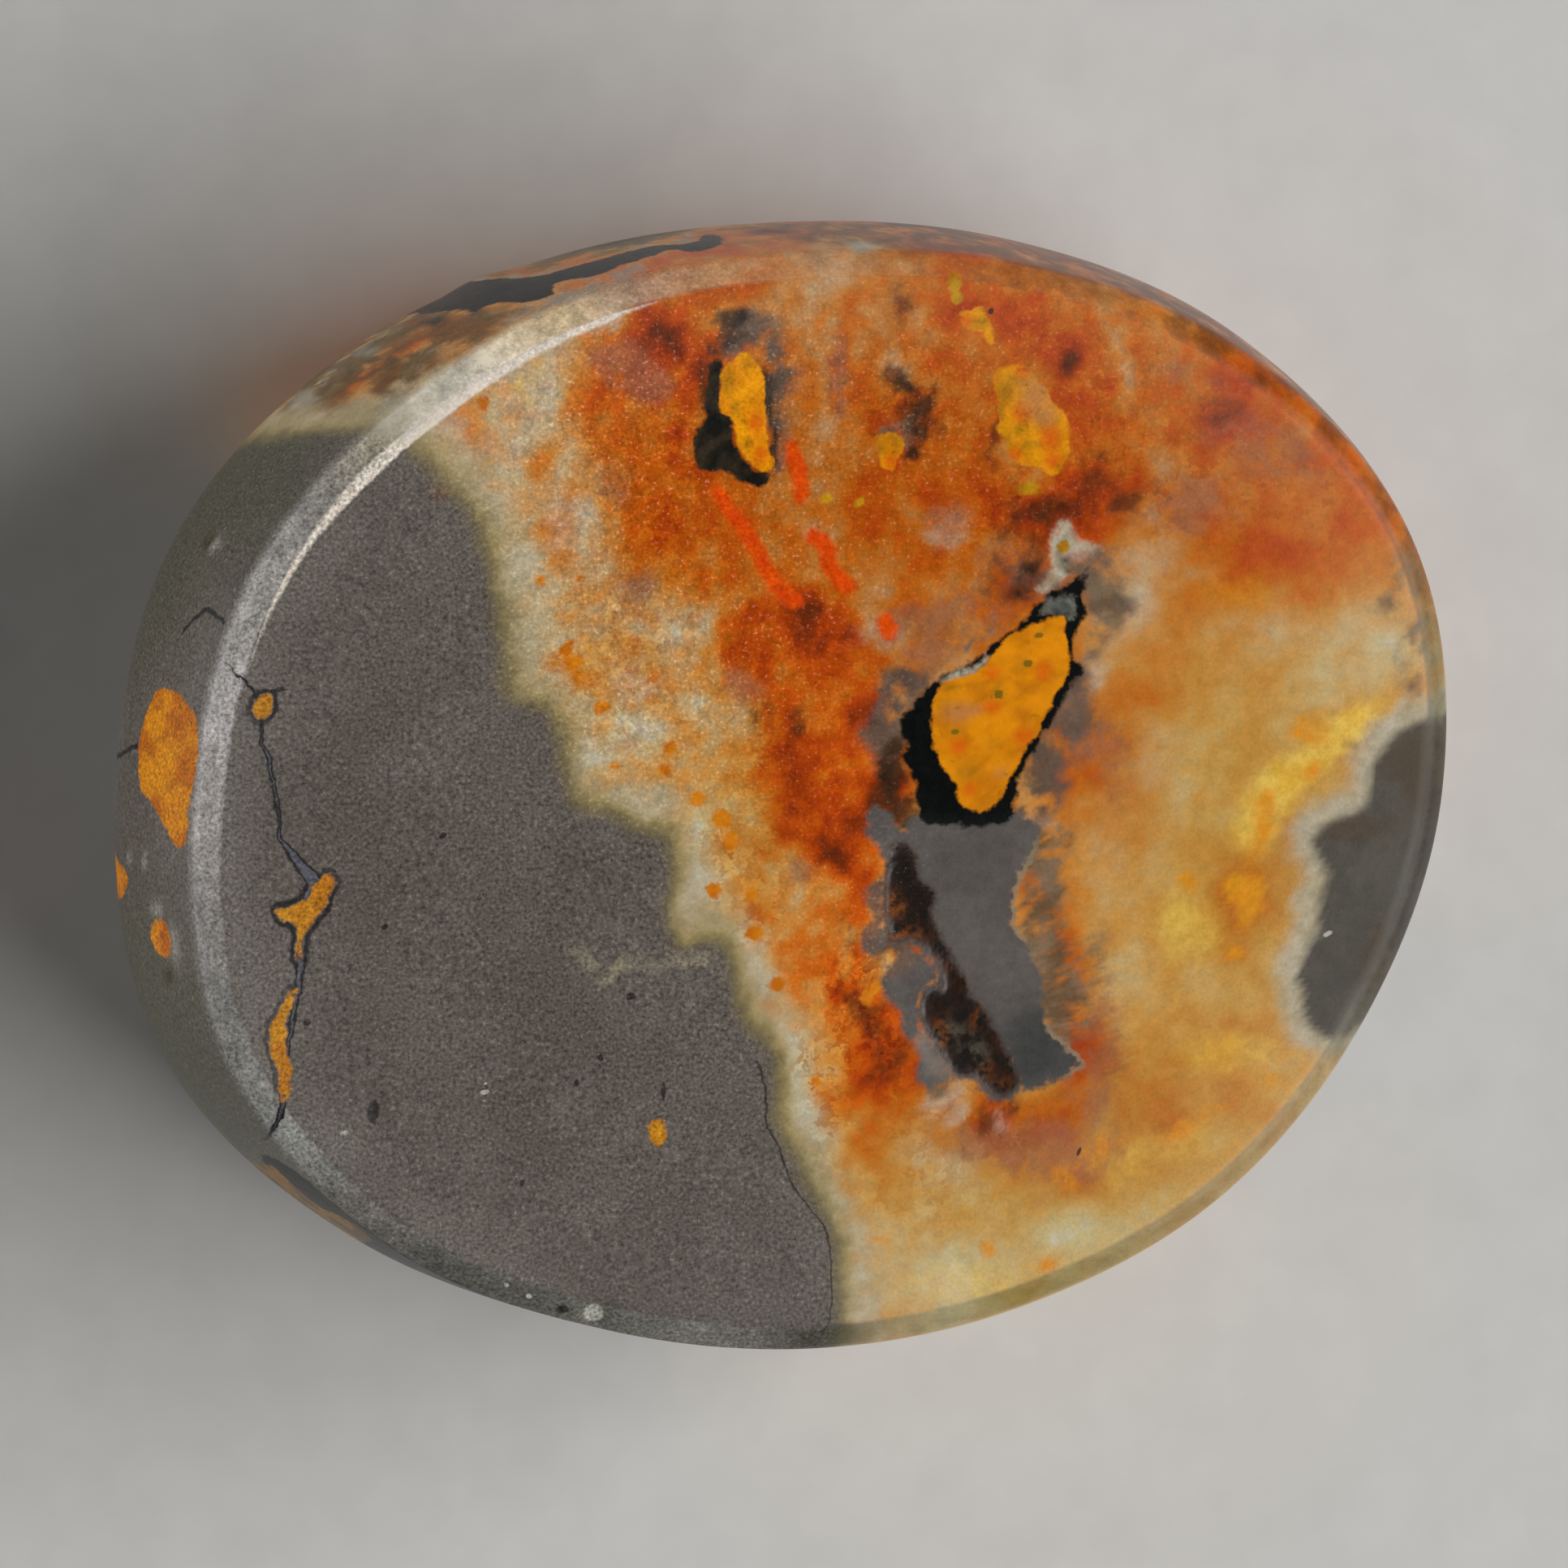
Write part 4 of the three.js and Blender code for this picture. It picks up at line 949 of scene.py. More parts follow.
UPPER_OCHRE = (
    (-3.3, 19.7), (-3.8, 19.6), (-4.2, 19.3), (-4.7, 18.8), (-4.65, 18.2), (-4.8, 17.5), (-4.6, 17),
    (-4.2, 16.7), (-4, 16.2), (-3.9, 15.6), (-3.7, 15.1), (-3.3, 14.85), (-2.9, 14.5), (-2.5, 14.5),
    (-2.35, 14.9), (-2.5, 15.3), (-2.6, 16), (-2.55, 16.8), (-2.6, 17.6), (-2.6, 18.4), (-2.75, 18.9),
    (-3.1, 19.3))
MUSTARD = (
    ((2.3, 16), (3.3, 16.1), (3.6, 15.5), (3.2, 14.9), (3.1, 14.4), (2.7, 14.4), (2.3, 14.9)),
    ((6, 21.3), (6.4, 21.6), (7.1, 21.6), (7.3, 21.2), (7.6, 20.7), (7.7, 20), (7.3, 19.9), (7, 20.4),
     (6.6, 20.5), (6.2, 20.7)),
    ((7.6, 18.8), (8.4, 19.1), (9.1, 19), (9.5, 18.5), (9.9, 18), (10.4, 17.2), (10.9, 16.8), (11, 16),
     (11, 15.3), (10.7, 14.6), (10.2, 14.1), (9.8, 14.3), (9.2, 14.5), (8.6, 14.7), (8.1, 15.1), (8, 15.8),
     (7.6, 16.2), (7.7, 17), (7.6, 17.8)))
VEIN_OCHRE = (
    ((-25.1, 4.9), (-24.6, 5.2), (-24.2, 5), (-24.2, 4.6), (-24.4, 4.1), (-24.9, 3.95), (-25.2, 4.3)),
    ((-22.4, -2.8), (-21.9, -2.6), (-21.6, -2.8), (-21.6, -3.2), (-21.9, -3.7), (-22.1, -4.2),
     (-22.6, -4.8), (-22.9, -5.4), (-22.9, -6), (-23, -6.5), (-23.25, -6.6), (-23.4, -6.1), (-23.3, -5.5),
     (-23.3, -4.9), (-23.9, -4.6), (-24.3, -4.2), (-23.8, -4), (-23.1, -3.7), (-22.6, -3.2)),
    ((-23.2, -7.5), (-23.6, -7.6), (-23.9, -8.2), (-24.3, -8.8), (-24.5, -9.4), (-24.5, -10.1),
     (-24.3, -10.8), (-24.15, -11.5), (-24.1, -12.3), (-23.95, -12.7), (-23.6, -12.5), (-23.5, -11.8),
     (-23.45, -11), (-23.6, -10.4), (-23.7, -9.6), (-23.7, -9), (-23.4, -8.4), (-23.15, -7.9)),
    ((-7.9, -13.9), (-7.2, -13.9), (-7.05, -14.4), (-7.3, -14.9), (-7.6, -15.1), (-7.8, -14.6)))
SIDE_EYE = (
    (183.2, 17.3), (183.4, 18), (182, 18.3), (180, 18.3), (178, 18.5), (175.5, 18.6), (173.3, 18.4),
    (171.8, 18), (170.6, 17), (170, 16), (170, 15), (170.8, 14.2), (172.5, 13.7), (174, 13.4),
    (175.5, 13.2), (177, 13.5), (178.8, 13.8), (179.5, 14.5), (180, 15.3), (181, 16), (182, 16.6))
SIDE_OCHRE = (
    ((193.1, 16), (192.5, 16.5), (191, 16.6), (190, 16.2), (190, 15.2), (190.7, 14.7), (191.8, 14.6),
     (192.8, 15)),
    ((187, 12), (186, 11.3), (185.7, 9.5), (185.3, 8), (185.5, 6), (187, 5), (189, 6.2), (189.2, 8),
     (188.9, 9.5), (188.3, 11), (187.6, 11.8)),
    ((292, 15), (296, 16.4), (300, 15.2), (301, 12.5), (299, 10.4), (296, 10.8), (293.5, 12)),
    ((31, 9), (35, 10.4), (38, 9.4), (39, 7), (36, 5.6), (33, 5.2), (31, 6.6)))
SIDE_STRIP = (
    (224, 17), (222.5, 17.8), (220.5, 17.2), (219.5, 16), (218, 15.6), (216.5, 15.6), (215, 15.8),
    (213.8, 15.5), (213.6, 14), (214, 12), (214.5, 10.5), (216, 9), (219, 8), (223, 9.5), (225, 12),
    (225, 14), (224.5, 16))
BASE_OCHRE = (
    ((-9, 7), (-7, 8.6), (-4.5, 8.2), (-3.6, 6.4), (-5, 4.4), (-7, 3.6), (-8.8, 4.6)),
    ((9, -7.2), (11, -6), (12.6, -7.2), (12.2, -9.4), (10.4, -10.6), (8.8, -9.4)))
ORANGE_SPECKS = (
    (-11.5, 6.7, 0.3, 0.6), (-11.2, 6.2, 0.4, 0.4), (-11, 5.6, 0.25, 0.5), (-10, 4.2, 0.35, 0.4),
    (-10.1, 4.7, 0.2, 0.4), (-7, 2.4, 0.25, 0.4), (-7.2, 1.5, 0.3, 0.25), (-5.8, 0.2, 0.4, 0.3),
    (-4.7, -0.7, 0.45, 0.4), (-4.3, -1.7, 0.35, 0.4), (-5, -3.8, 0.4, 0.35), (-3.3, -5.7, 0.4, 0.35),
    (-12.6, 9.8, 0.3, 0.3), (-10.9, 9.9, 0.25, 0.25), (-2.2, -8, 0.4, 0.35), (-0.5, -12.3, 0.3, 0.25),
    (-15.1, 17.4, 0.25, 0.35), (-9.4, 1.7, 0.25, 0.2), (-3.4, -4, 0.3, 0.3), (1.8, -8.7, 0.35, 0.35),
    (2.2, -8.2, 0.25, 0.25))
YELLOW_SPECKS = (
    (10.65, 10.95, 0.3, 0.28), (0, 13.2, 0.3, 0.25), (1.4, 13, 0.25, 0.25), (5.8, 22.5, 0.3, 0.45),
    (5.9, 21.9, 0.3, 0.3), (9.1, 13.6, 0.55, 0.3))
YOLK = (
    (7.4, 5.5, 0.3, 0.25), (7.4, 4, 0.4, 0.3), (8.8, 2.7, 0.4, 0.35), (5.9, 2.3, 0.35, 0.35),
    (9.7, 5.6, 0.3, 0.4), (6.4, 0.4, 0.3, 0.3), (8.9, 16.9, 0.45, 0.4), (10.1, 15.8, 0.4, 0.5),
    (8.9, 18.8, 0.35, 0.3), (10.2, 14.8, 0.35, 0.35), (8.4, 15, 0.4, 0.3), (6.4, 21, 0.3, 0.3),
    (2.9, 14.8, 0.3, 0.3), (-3.1, 16.6, 0.3, 0.4), (-2.9, 15.2, 0.3, 0.3))
RIMMED = (
    (-23.2, -3.8, 3, 1.8), (-23.4, -6, 0.9, 1.4), (-24.4, 4.8, 1.4, 1.2), (-24.3, -9.6, 0.5, 2.6, 0, 0.7))
OLIVE = (
    (7.7, 4.7, 0.2, 0.3), (9.7, 7.2, 0.2, 0.15), (8.9, 5.9, 0.25, 0.18), (5.7, 2.9, 0.25, 0.12),
    (5.7, 4.9, 0.3, 0.15), (6.5, 1.2, 0.35, 0.2, 0, 0.7), (7.4, 2.4, 0.3, 0.2, 0, 0.6),
    (8.1, 17.9, 0.3, 0.5), (8.7, 16.2, 0.3, 0.3), (8.1, 15.6, 0.2, 0.5), (9.2, 15.5, 0.4, 0.2),
    (8.6, 18.3, 0.5, 0.2), (9.6, 16.6, 0.3, 0.2), (7.8, 16.9, 0.2, 0.5), (-4.3, 18.4, 0.3, 0.5),
    (-4, 17.2, 0.2, 0.4), (-3.4, 19.2, 0.3, 0.2), (-3.5, 15.7, 0.2, 0.3), (6.9, 20.9, 0.4, 0.2),
    (2.4, 15.4, 0.2, 0.4), (3.2, 15.8, 0.3, 0.2), (-24.6, 4.2, 0.4, 0.15, 0, 0.7),
    (5.2, 4.2, 0.3, 0.4, 0, 0.6), (6.2, 1.2, 0.5, 0.5, 0, 0.5))
PALE_IN_OCHRE = (
    (5.9, 3.8, 0.6, 0.4), (6.7, 3.9, 0.25, 0.2), (9.5, 17.7, 0.7, 0.9), (9.9, 16.8, 0.5, 0.4),
    (7.8, 1.1, 0.2, 0.2))
OCHRE_RIM_COLOUR = paint(42, 40, 40)
OLIVE_FLECK = paint(124, 88, 10)


def oval_gap(rows, reach=4.0):
    """Signed distance to the nearest of several small ovals on the face, near enough: the distance from
    each middle in half axes, less one, times the shorter half axis."""
    gaps = [min(wide, high) * (np.hypot((above[:, 0] - x) / wide, (above[:, 1] - y) / high) - 1)
            for x, y, wide, high in rows]
    return np.minimum(least(*gaps), reach)


face_ochre = 0.5 * MARK_FADE * depth
side_gaps = [inside_distance(on_chart(line), around) for line in (SIDE_EYE, *SIDE_OCHRE)]
base_gaps = [inside_distance(line, below) for line in BASE_OCHRE]
# Each kind of ochre: how far outside it a place is, and its two tones.
kinds = (
    (inside_distance(EYE) + face_ochre, (240, 148, 2), (210, 124, 2)),
    (inside_distance(UPPER_OCHRE) + face_ochre, (255, 166, 2), (240, 146, 2)),
    (least(*map(inside_distance, MUSTARD)) + face_ochre, (240, 156, 2), (214, 130, 2)),
    (least(*map(inside_distance, VEIN_OCHRE)) + face_ochre, (206, 140, 30), (190, 118, 26)),
    (least(*side_gaps, *base_gaps), (232, 146, 2), (196, 104, 2)),
    (inside_distance(on_chart(SIDE_STRIP), around), (150, 104, 8), (92, 64, 6)),
    (oval_gap(ORANGE_SPECKS), (226, 136, 22), (208, 112, 14)),
    (oval_gap(YELLOW_SPECKS), (206, 150, 16), (176, 120, 12)))
gaps = np.stack([gap for gap, first, second in kinds])
nearest = gaps.argmin(0)
first_tones = np.array([paint(*first) for gap, first, second in kinds])[nearest]
second_tones = np.array([paint(*second) for gap, first, second in kinds])[nearest]
ochre_colour = stained(
    softly_clouded(first_tones, second_tones, 1.0),
    ((230, 106, 2), stain(YOLK, lay)),
    ((140, 106, 14), 0.55 * stain(OLIVE, lay)),
    ((196, 130, 72), 0.8 * stain(PALE_IN_OCHRE, lay)))
ochre_gap = gaps.min(0) + 0.05 * clouds(0.9, 2)
ochre_inside, ochre_distance = ragged(stored("ochre", ochre_gap), 0.2, 0.09)
rim_distance = reckon(tree, "ABSOLUTE", reckon(tree, "ADD", ochre_distance, -0.16))
rim = both(slope(tree, rim_distance, 0.16, 0.06), stored("rimmed", stain(RIMMED)))
colour = over(rim, OCHRE_RIM_COLOUR, colour)
olive_flecks = slope(tree, crystal_noise(), 0.34, 0.5)
ochre_shown = over(both(olive_flecks, 0.3), OLIVE_FLECK, stored("ochre_colour", ochre_colour))
colour = over(ochre_inside, ochre_shown, colour)

# Vermilion streaks
# Red arsenic sulphide fills short straight cracks below the upper ochre, brighter than any iron stain.
VERMILION = (
    ((-4.8, 13.6), (-4.3, 12.8), (-3.7, 12), (-3.1, 11), (-2.7, 10.2), (-2.2, 9.4), (-1.4, 8.8)),
    ((-0.6, 11.6), (0, 11.2), (0.2, 10.2), (0.9, 9.4)),
    ((-1.5, 15.4), (-1.2, 14.6), (-1.1, 13.4)),
    ((2.6, 7.8), (2.8, 7.4)))
STREAK_HALF_WIDTH = 0.4
STREAK_TONES = (paint(222, 68, 2), paint(244, 86, 2))

streak_gap = least(*(distance_to(np.array(line), lay) for line in VERMILION)) - STREAK_HALF_WIDTH
vermilion = ragged(stored("vermilion", streak_gap + MARK_FADE * depth), 0.22, 0.2)["Inside"]
colour = over(vermilion, over(on_crystal, STREAK_TONES[1], STREAK_TONES[0]), colour)

# Crevice
# An open seam crosses the ash-grey patches: rough and rusty at its lips, with some grey rock left standing
# in its lower lobe. Its near-black inside is painted shade of the deep seam over the seam's own dark rusty
# fill.
CREVICE_RUST = (
    (5, -10.4, 0.3, 0.5), (3.2, -4.6, 0.4, 0.5), (7.2, -11.9, 0.4, 0.4), (3.4, -6.1, 1, 0.3),
    (5.2, -7.6, 0.3, 0.5, 0, 0.6), (6.9, -9.6, 0.2, 0.4), (8, -12.6, 0.4, 0.3, 0, 0.7))
CREVICE_GREY = ((5.7, -10.2, 0.5, 0.5), (6.5, -10.9, 0.7, 0.5, -50), (7, -11.5, 0.3, 0.3))
CREVICE_SHADED_TONES = (paint(24, 9, 0), paint(58, 24, 0))
CREVICE_SHADOW = paint(20, 8, 0)
RUSTY_LIP = paint(62, 32, 14)

crevice_inside, crevice_depth = ragged(stored("crevice", crevice_distance), 0.22, 0.12)
colour = over(both(slope(tree, crevice_depth, 0.3, 0.0), 0.6), RUSTY_LIP, colour)
# The seam's dark fill, deepened by painted shade.
crevice_shaded_colour = stained(
    softly_clouded(*CREVICE_SHADED_TONES, 0.8),
    ((150, 78, 8), stain(CREVICE_RUST)),
    ((90, 84, 68), stain(CREVICE_GREY)))
# Painted shade: near black between the crystals in the seam.
crevice_with_painted_shade = over(both(on_crystal, 0.8), stored("crevice_shaded_colour", crevice_shaded_colour), CREVICE_SHADOW)
colour = over(crevice_inside, crevice_with_painted_shade, colour)

# Painted edge highlight
# At the upper left the highlight along the edge where the bevel meets the face is painted into the colour as
# a broken pale line. The rows give an azimuth in degrees and the line's half width.
EDGE_HIGHLIGHT_BY_AZIMUTH = (
    (102, -0.1), (109, 0.04), (116, 0.16), (124, 0.22), (134, 0.32), (144, 0.28), (154, 0.17), (163, 0.07),
    (172, -0.1))
EDGE_INSET = 0.05
EDGE_REACH = 4.0
EDGE_HIGHLIGHT_TONES = (paint(240, 226, 208), paint(255, 244, 230))

edge_inset = side_radius(np.radians(azimuth), 0) - BEVEL_WIDTH - np.hypot(points[:, 0], points[:, 1])
edge_highlight_gap = np.where(above[:, 0] < FAR, np.abs(edge_inset - EDGE_INSET), EDGE_REACH)
edge_highlight_gap = edge_highlight_gap - by_azimuth(EDGE_HIGHLIGHT_BY_AZIMUTH)
edge_highlight_gap += 0.03 * clouds(1.6)
painted_edge_highlight = ragged(stored("painted_edge_highlight", edge_highlight_gap), 0.06, 0.08)["Inside"]
edge_highlight_colour = over(on_crystal, EDGE_HIGHLIGHT_TONES[1], EDGE_HIGHLIGHT_TONES[0])
# The painted highlight laid over the colour.
colour = over(both(painted_edge_highlight, 0.95), edge_highlight_colour, colour)

# Veins and cracks
# A bluish vein with dark lips strings the left-hand ochre together, thin dark ones cross the side near the
# side's eye, and a hairline crack runs down to the lower rim. The vein's rows end with its half width, which
# is below nothing where only its lips show.
VEIN = (
    (-24.9, -15, 0.0), (-24.3, -13.9, 0.05), (-24.1, -13.5, 0.08), (-23.9, -12.7, 0.1), (-23.8, -11, 0.05),
    (-23.15, -7.2, 0.1), (-23.1, -6.6, 0.14), (-22.9, -5, 0.1), (-22.5, -2.9, 0.28), (-22.75, -2.6, 0.26),
    (-23.2, -2.1, 0.2), (-23.6, -1.6, 0.12), (-24, -1, 0.06), (-24, -0.6, 0.02), (-24.1, 0.2, 0.04),
    (-24.2, 1, 0.05), (-24.4, 2, 0.06), (-24.5, 2.5, 0.08), (-24.75, 3, 0.04), (-24.7, 3.6, 0.02),
    (-24.75, 4.6, 0.0), (-25.1, 5.3, 0.0), (-25.4, 5.6, 0.0), (-25.8, 6.2, -0.03), (-26.6, 7.5, -0.06))
SIDE_VEINS = (
    ((177.2, 3), (177, 8.5), (176.5, 10.5), (175.8, 12), (175.3, 13.2)),
    ((166, 15), (164.3, 15.7), (163, 16.2), (162.2, 17), (162.8, 18), (163.5, 18.7)))
CRACK = (
    (0, -23.5), (0.2, -23), (0.35, -22.2), (0.3, -21.2), (0.3, -20.2), (0.2, -19.4), (0.05, -18.8),
    (-0.3, -18.3), (-0.8, -17.8), (-1.3, -17.1), (-1.6, -16.6), (-1.85, -15.9), (-2, -15.3), (-2.4, -14.6),
    (-2.7, -14), (-2.65, -13.3), (-2.7, -12.6), (-2.9, -11.8), (-3.1, -11.3))
VEIN_LIP = paint(44, 42, 42)
VEIN_CORE = paint(96, 94, 102)
SIDE_VEIN_COLOUR = paint(40, 38, 38)
CRACK_COLOUR = paint(50, 44, 38)


def line_gap(knots, place=lay, reach=4.0):
    """Signed distance to a line that only ever runs north: how far east of it a place is, less where the
    line slants. Beyond the line's ends it is the full reach to the same side."""
    east, north = np.array(knots)[:, :2].T
    slant = np.interp(place[:, 1], north, np.gradient(east, north))
    gap = (place[:, 0] - np.interp(place[:, 1], north, east)) / np.hypot(1, slant)
    beside = (place[:, 1] > north[0]) & (place[:, 1] < north[-1])
    return np.clip(np.where(beside, gap, np.copysign(reach, gap)), -reach, reach)


def line_mask(name, gap, half_width):
    """A wavering line, 1 in its middle and 0 from its half width outwards."""
    wavering = reckon(tree, "ADD", stored(name, gap), crystal_noise(0.14))
    return slope(tree, reckon(tree, "ABSOLUTE", wavering), half_width, 0.3 * half_width)


wavering_vein = reckon(tree, "ADD", stored("vein", line_gap(VEIN)), crystal_noise(0.16))
vein_places = np.array(VEIN)
half_width = np.interp(lay[:, 1], vein_places[:, 1], vein_places[:, 2]) - 0.05 * depth
vein_gap = reckon(tree, "ABSOLUTE", wavering_vein)
core = reckon(tree, "SUBTRACT", vein_gap, stored("vein_half_width", half_width))
outside_ochre = reckon(tree, "SUBTRACT", 1.0, ochre_inside)
colour = over(both(slope(tree, core, 0.14, 0.06), outside_ochre), VEIN_LIP, colour)
colour = over(both(slope(tree, core, 0.02, -0.04), outside_ochre), VEIN_CORE, colour)
crack = line_mask("crack", line_gap(CRACK) * (1 + depth), 0.09)
colour = over(both(crack, 0.8), CRACK_COLOUR, colour)
side_gap = np.stack([line_gap(on_chart(line), around) for line in SIDE_VEINS])
side_gap = side_gap[np.abs(side_gap).argmin(0), np.arange(len(points))]
side_vein = line_mask("side_vein", side_gap, 0.16)
colour = over(both(side_vein, outside_ochre), SIDE_VEIN_COLOUR, colour)

# Specks
# Grains too small for an outline: dark and white ones lie scattered in the slate, with the pit and the chip
# at the rim, and olive ones in the eye. Each row is a place to the east and north and two half axes, in mm.
DARK_SPECKS = (
    (-16.9, -1.2, 0.17, 0.15), (-19.4, -5, 0.1, 0.1), (-10, -10.9, 0.16, 0.13), (-11.1, -12.2, 0.08, 0.08),
    (-8.7, -8.3, 0.2, 0.33), (-13.5, -16.4, 0.12, 0.12), (-22.8, -9.3, 0.14, 0.2),
    (-19.9, -13.1, 0.28, 0.6), (-7.3, -12.7, 0.1, 0.45), (-11.6, -22.1, 0.3, 0.2), (7.35, 21.2, 0.15, 0.15),
    (11.5, -15.7, 0.13, 0.12), (-24, 5.3, 0.35, 0.12), (7.7, 4.6, 0.2, 0.3), (8.95, 5.95, 0.2, 0.18),
    (5.75, 2.85, 0.2, 0.12), (9.65, 7.1, 0.16, 0.16))
WHITE_SPECKS = (
    (-10.2, -22.4, 0.42, 0.4), (-13, -21.5, 0.15, 0.13), (-14.2, -21, 0.12, 0.1),
    (-15.05, -12.4, 0.06, 0.6), (-21.2, -14, 0.06, 0.15), (22.9, -6.5, 0.2, 0.16))
DARK_GRAIN = paint(36, 31, 28)
OLIVE_GRAIN = paint(122, 98, 14)
WHITE_GRAIN = paint(196, 192, 180)


def specks(rows):
    """Amount of small spots on the face: 1 in the middle, a half at the edge and 0 at twice that. Each
    spot is moved to the skin's nearest point, so that it isn't lost between points."""
    amount = np.zeros(len(points))
    for x, y, wide, high in rows:
        middle = above[np.argmin(np.hypot(above[:, 0] - x, above[:, 1] - y))]
        reach = np.hypot((above[:, 0] - middle[0]) / wide, (above[:, 1] - middle[1]) / high)
        amount = np.maximum(amount, 1 - 0.5 * reach)
    return amount


def speck_mask(name, rows):
    """1 on small spots with a wavering edge and 0 elsewhere."""
    wavering_amount = reckon(tree, "ADD", stored(name, specks(rows)), crystal_noise(0.12))
    return slope(tree, wavering_amount, 0.4, 0.6)


dark_specks = speck_mask("dark_specks", DARK_SPECKS)
white_specks = speck_mask("white_specks", WHITE_SPECKS)
speck_colour = over(ochre_inside, OLIVE_GRAIN, DARK_GRAIN)
colour = over(both(dark_specks, 0.85), speck_colour, colour)
colour = over(both(white_specks, 0.8), WHITE_GRAIN, colour)

# Grain and painted glints, and polish
# Cut crystals give every mineral a fine sugary unevenness. In the upper left and on the slate the grain is
# stronger and glints of light off frosted crystals are painted into the colour, so that many small calcite
# crystals stand out white and the slate's finer grain shows pale dust-sized dots; faint grinding lines cross
# it.
# A hand polish leaves a satin gloss, duller on the slate, the bevel and the side, and scuffed along the edge
# of the face. The crevice, the pit and the chip are raw.
GLINTING_FROST = (
    (-8, 16, 8, 8), (-4, 6, 6, 7, 0, 0.7), (-10, 5, 5, 5, 0, 0.6), (4, 16, 7, 7, 0, 0.5),
    (1, -4, 3, 5, 0, 0.5), (12, 18, 7, 5, 0, 0.25))
SCRATCHED = ((-17.6, 11.6, 3, 2.4), (-16.5, 3, 4, 1.4, 34), (-20, -1.5, 3, 1.2, 34, 0.6))
SCRATCH_TURN = np.radians(34)
SCRATCH_STRETCH = (9.0, 0.16, 1.0)
SCRATCH_BRIGHTNESS = 0.3
COARSE_GRAIN = 0.17
FINE_GRAIN = 0.13
FACE_EDGE_HEIGHT = THICKNESS - FACE_DOME
SCUFFED_HEIGHT = FACE_EDGE_HEIGHT - 0.03
SCUFF_HALF_WIDTH = 0.15
POLISHED_ROUGHNESS = 0.24
SLATE_DULLNESS = 0.05
SIDE_DULLNESS = 0.06
SCUFF_DULLNESS = 0.3
RAW_ROUGHNESS = 0.9
POLISHED_RELIEF = 0.002
RAW_RELIEF = 0.006


def most(*amounts):
    """The largest of several amounts at each place."""
    return np.maximum.reduce(amounts)


coarse_grain = crystal_noise()
in_slate = slate_share[0]
glinting_frost = stain(GLINTING_FROST) * (1 - in_slate)
in_ochre = ramp(ochre_gap, 0.1, -0.1)
# The grain is stronger where it stands in for painted glints: the frosted upper left and the slate.
coarse_strength = COARSE_GRAIN * (1 + 1.4 * glinting_frost - 0.1 * in_slate - 0.3 * in_ochre)
fine_strength = FINE_GRAIN * (1 + 2.4 * glinting_frost + 5.4 * in_slate - 0.6 * in_ochre)
coarse_light = both(coarse_grain, stored("coarse_strength", coarse_strength))
fine_light = stored("fine_strength", fine_strength)
brightness = reckon(tree, "MULTIPLY_ADD", fine_grain, fine_light, coarse_light)
on_calcite_or_slate = ramp(least(black_gap, ochre_gap, streak_gap), 0, 0.2)
# Painted glints: white specks added to the colour.
painted_glint_amount = stored("painted_glint_amount", (0.3 * glinting_frost + 0.08 * in_slate) * on_calcite_or_slate)
painted_glints = both(slope(tree, fine_grain, 0.35, 0.9), painted_glint_amount)
drawn_out = {"Vector": place, "Rotation": (0, 0, SCRATCH_TURN), "Scale": SCRATCH_STRETCH}
along_scratches = put(tree, "ShaderNodeMapping", drawn_out, vector_type="TEXTURE").outputs[0]
scratched = stored("scratched", stain(SCRATCHED, above))
scratches = both(slope(tree, noise(tree, along_scratches, 1.0, 1.0), 0.58, 0.72), scratched)
brightness = reckon(tree, "ADD", brightness, 1.0)
brightness = reckon(tree, "MULTIPLY_ADD", scratches, SCRATCH_BRIGHTNESS, brightness)
colour = reckon_each("MULTIPLY_ADD", colour, brightness, painted_glints)

height = points[:, 2]
raw = most(ramp(crevice_distance, 0.1, -0.2), stain((PIT, CHIP), above))
dullness = POLISHED_ROUGHNESS + SLATE_DULLNESS * ramp(least(slate_gap, bay_gap, ash_gap), 0.2, -0.2)
dullness += SIDE_DULLNESS * ramp(height, FACE_EDGE_HEIGHT - 0.3, UPPER_RIM_HEIGHT)
dullness += SCUFF_DULLNESS * np.exp2(-(((height - SCUFFED_HEIGHT) / SCUFF_HALF_WIDTH) ** 2))
stored_roughness = stored("roughness", most(dullness, RAW_ROUGHNESS * raw))
roughness = reckon(tree, "MULTIPLY_ADD", coarse_grain, 0.05, stored_roughness)
relief = both(fine_grain, stored("relief", POLISHED_RELIEF + RAW_RELIEF * raw))
bump = put(tree, "ShaderNodeBump", {"Height": relief, "Distance": MM, "Strength": 1.0}).outputs[0]
inputs = {"Base Color": colour, "Roughness": roughness, "Normal": bump, "IOR": 1.38}
shader = put(tree, "ShaderNodeBsdfPrincipled", inputs)
put(tree, "ShaderNodeOutputMaterial", {"Surface": shader.outputs[0]})

# The studio floor
# A seamless sheet of matt paper, pale and very slightly uneven.
FLOOR_HALF_SIZE = 1.5
PAPER_TONES = (paint(203, 202, 199), paint(209, 208, 205))
FIBRES_PER_METRE = 260.0

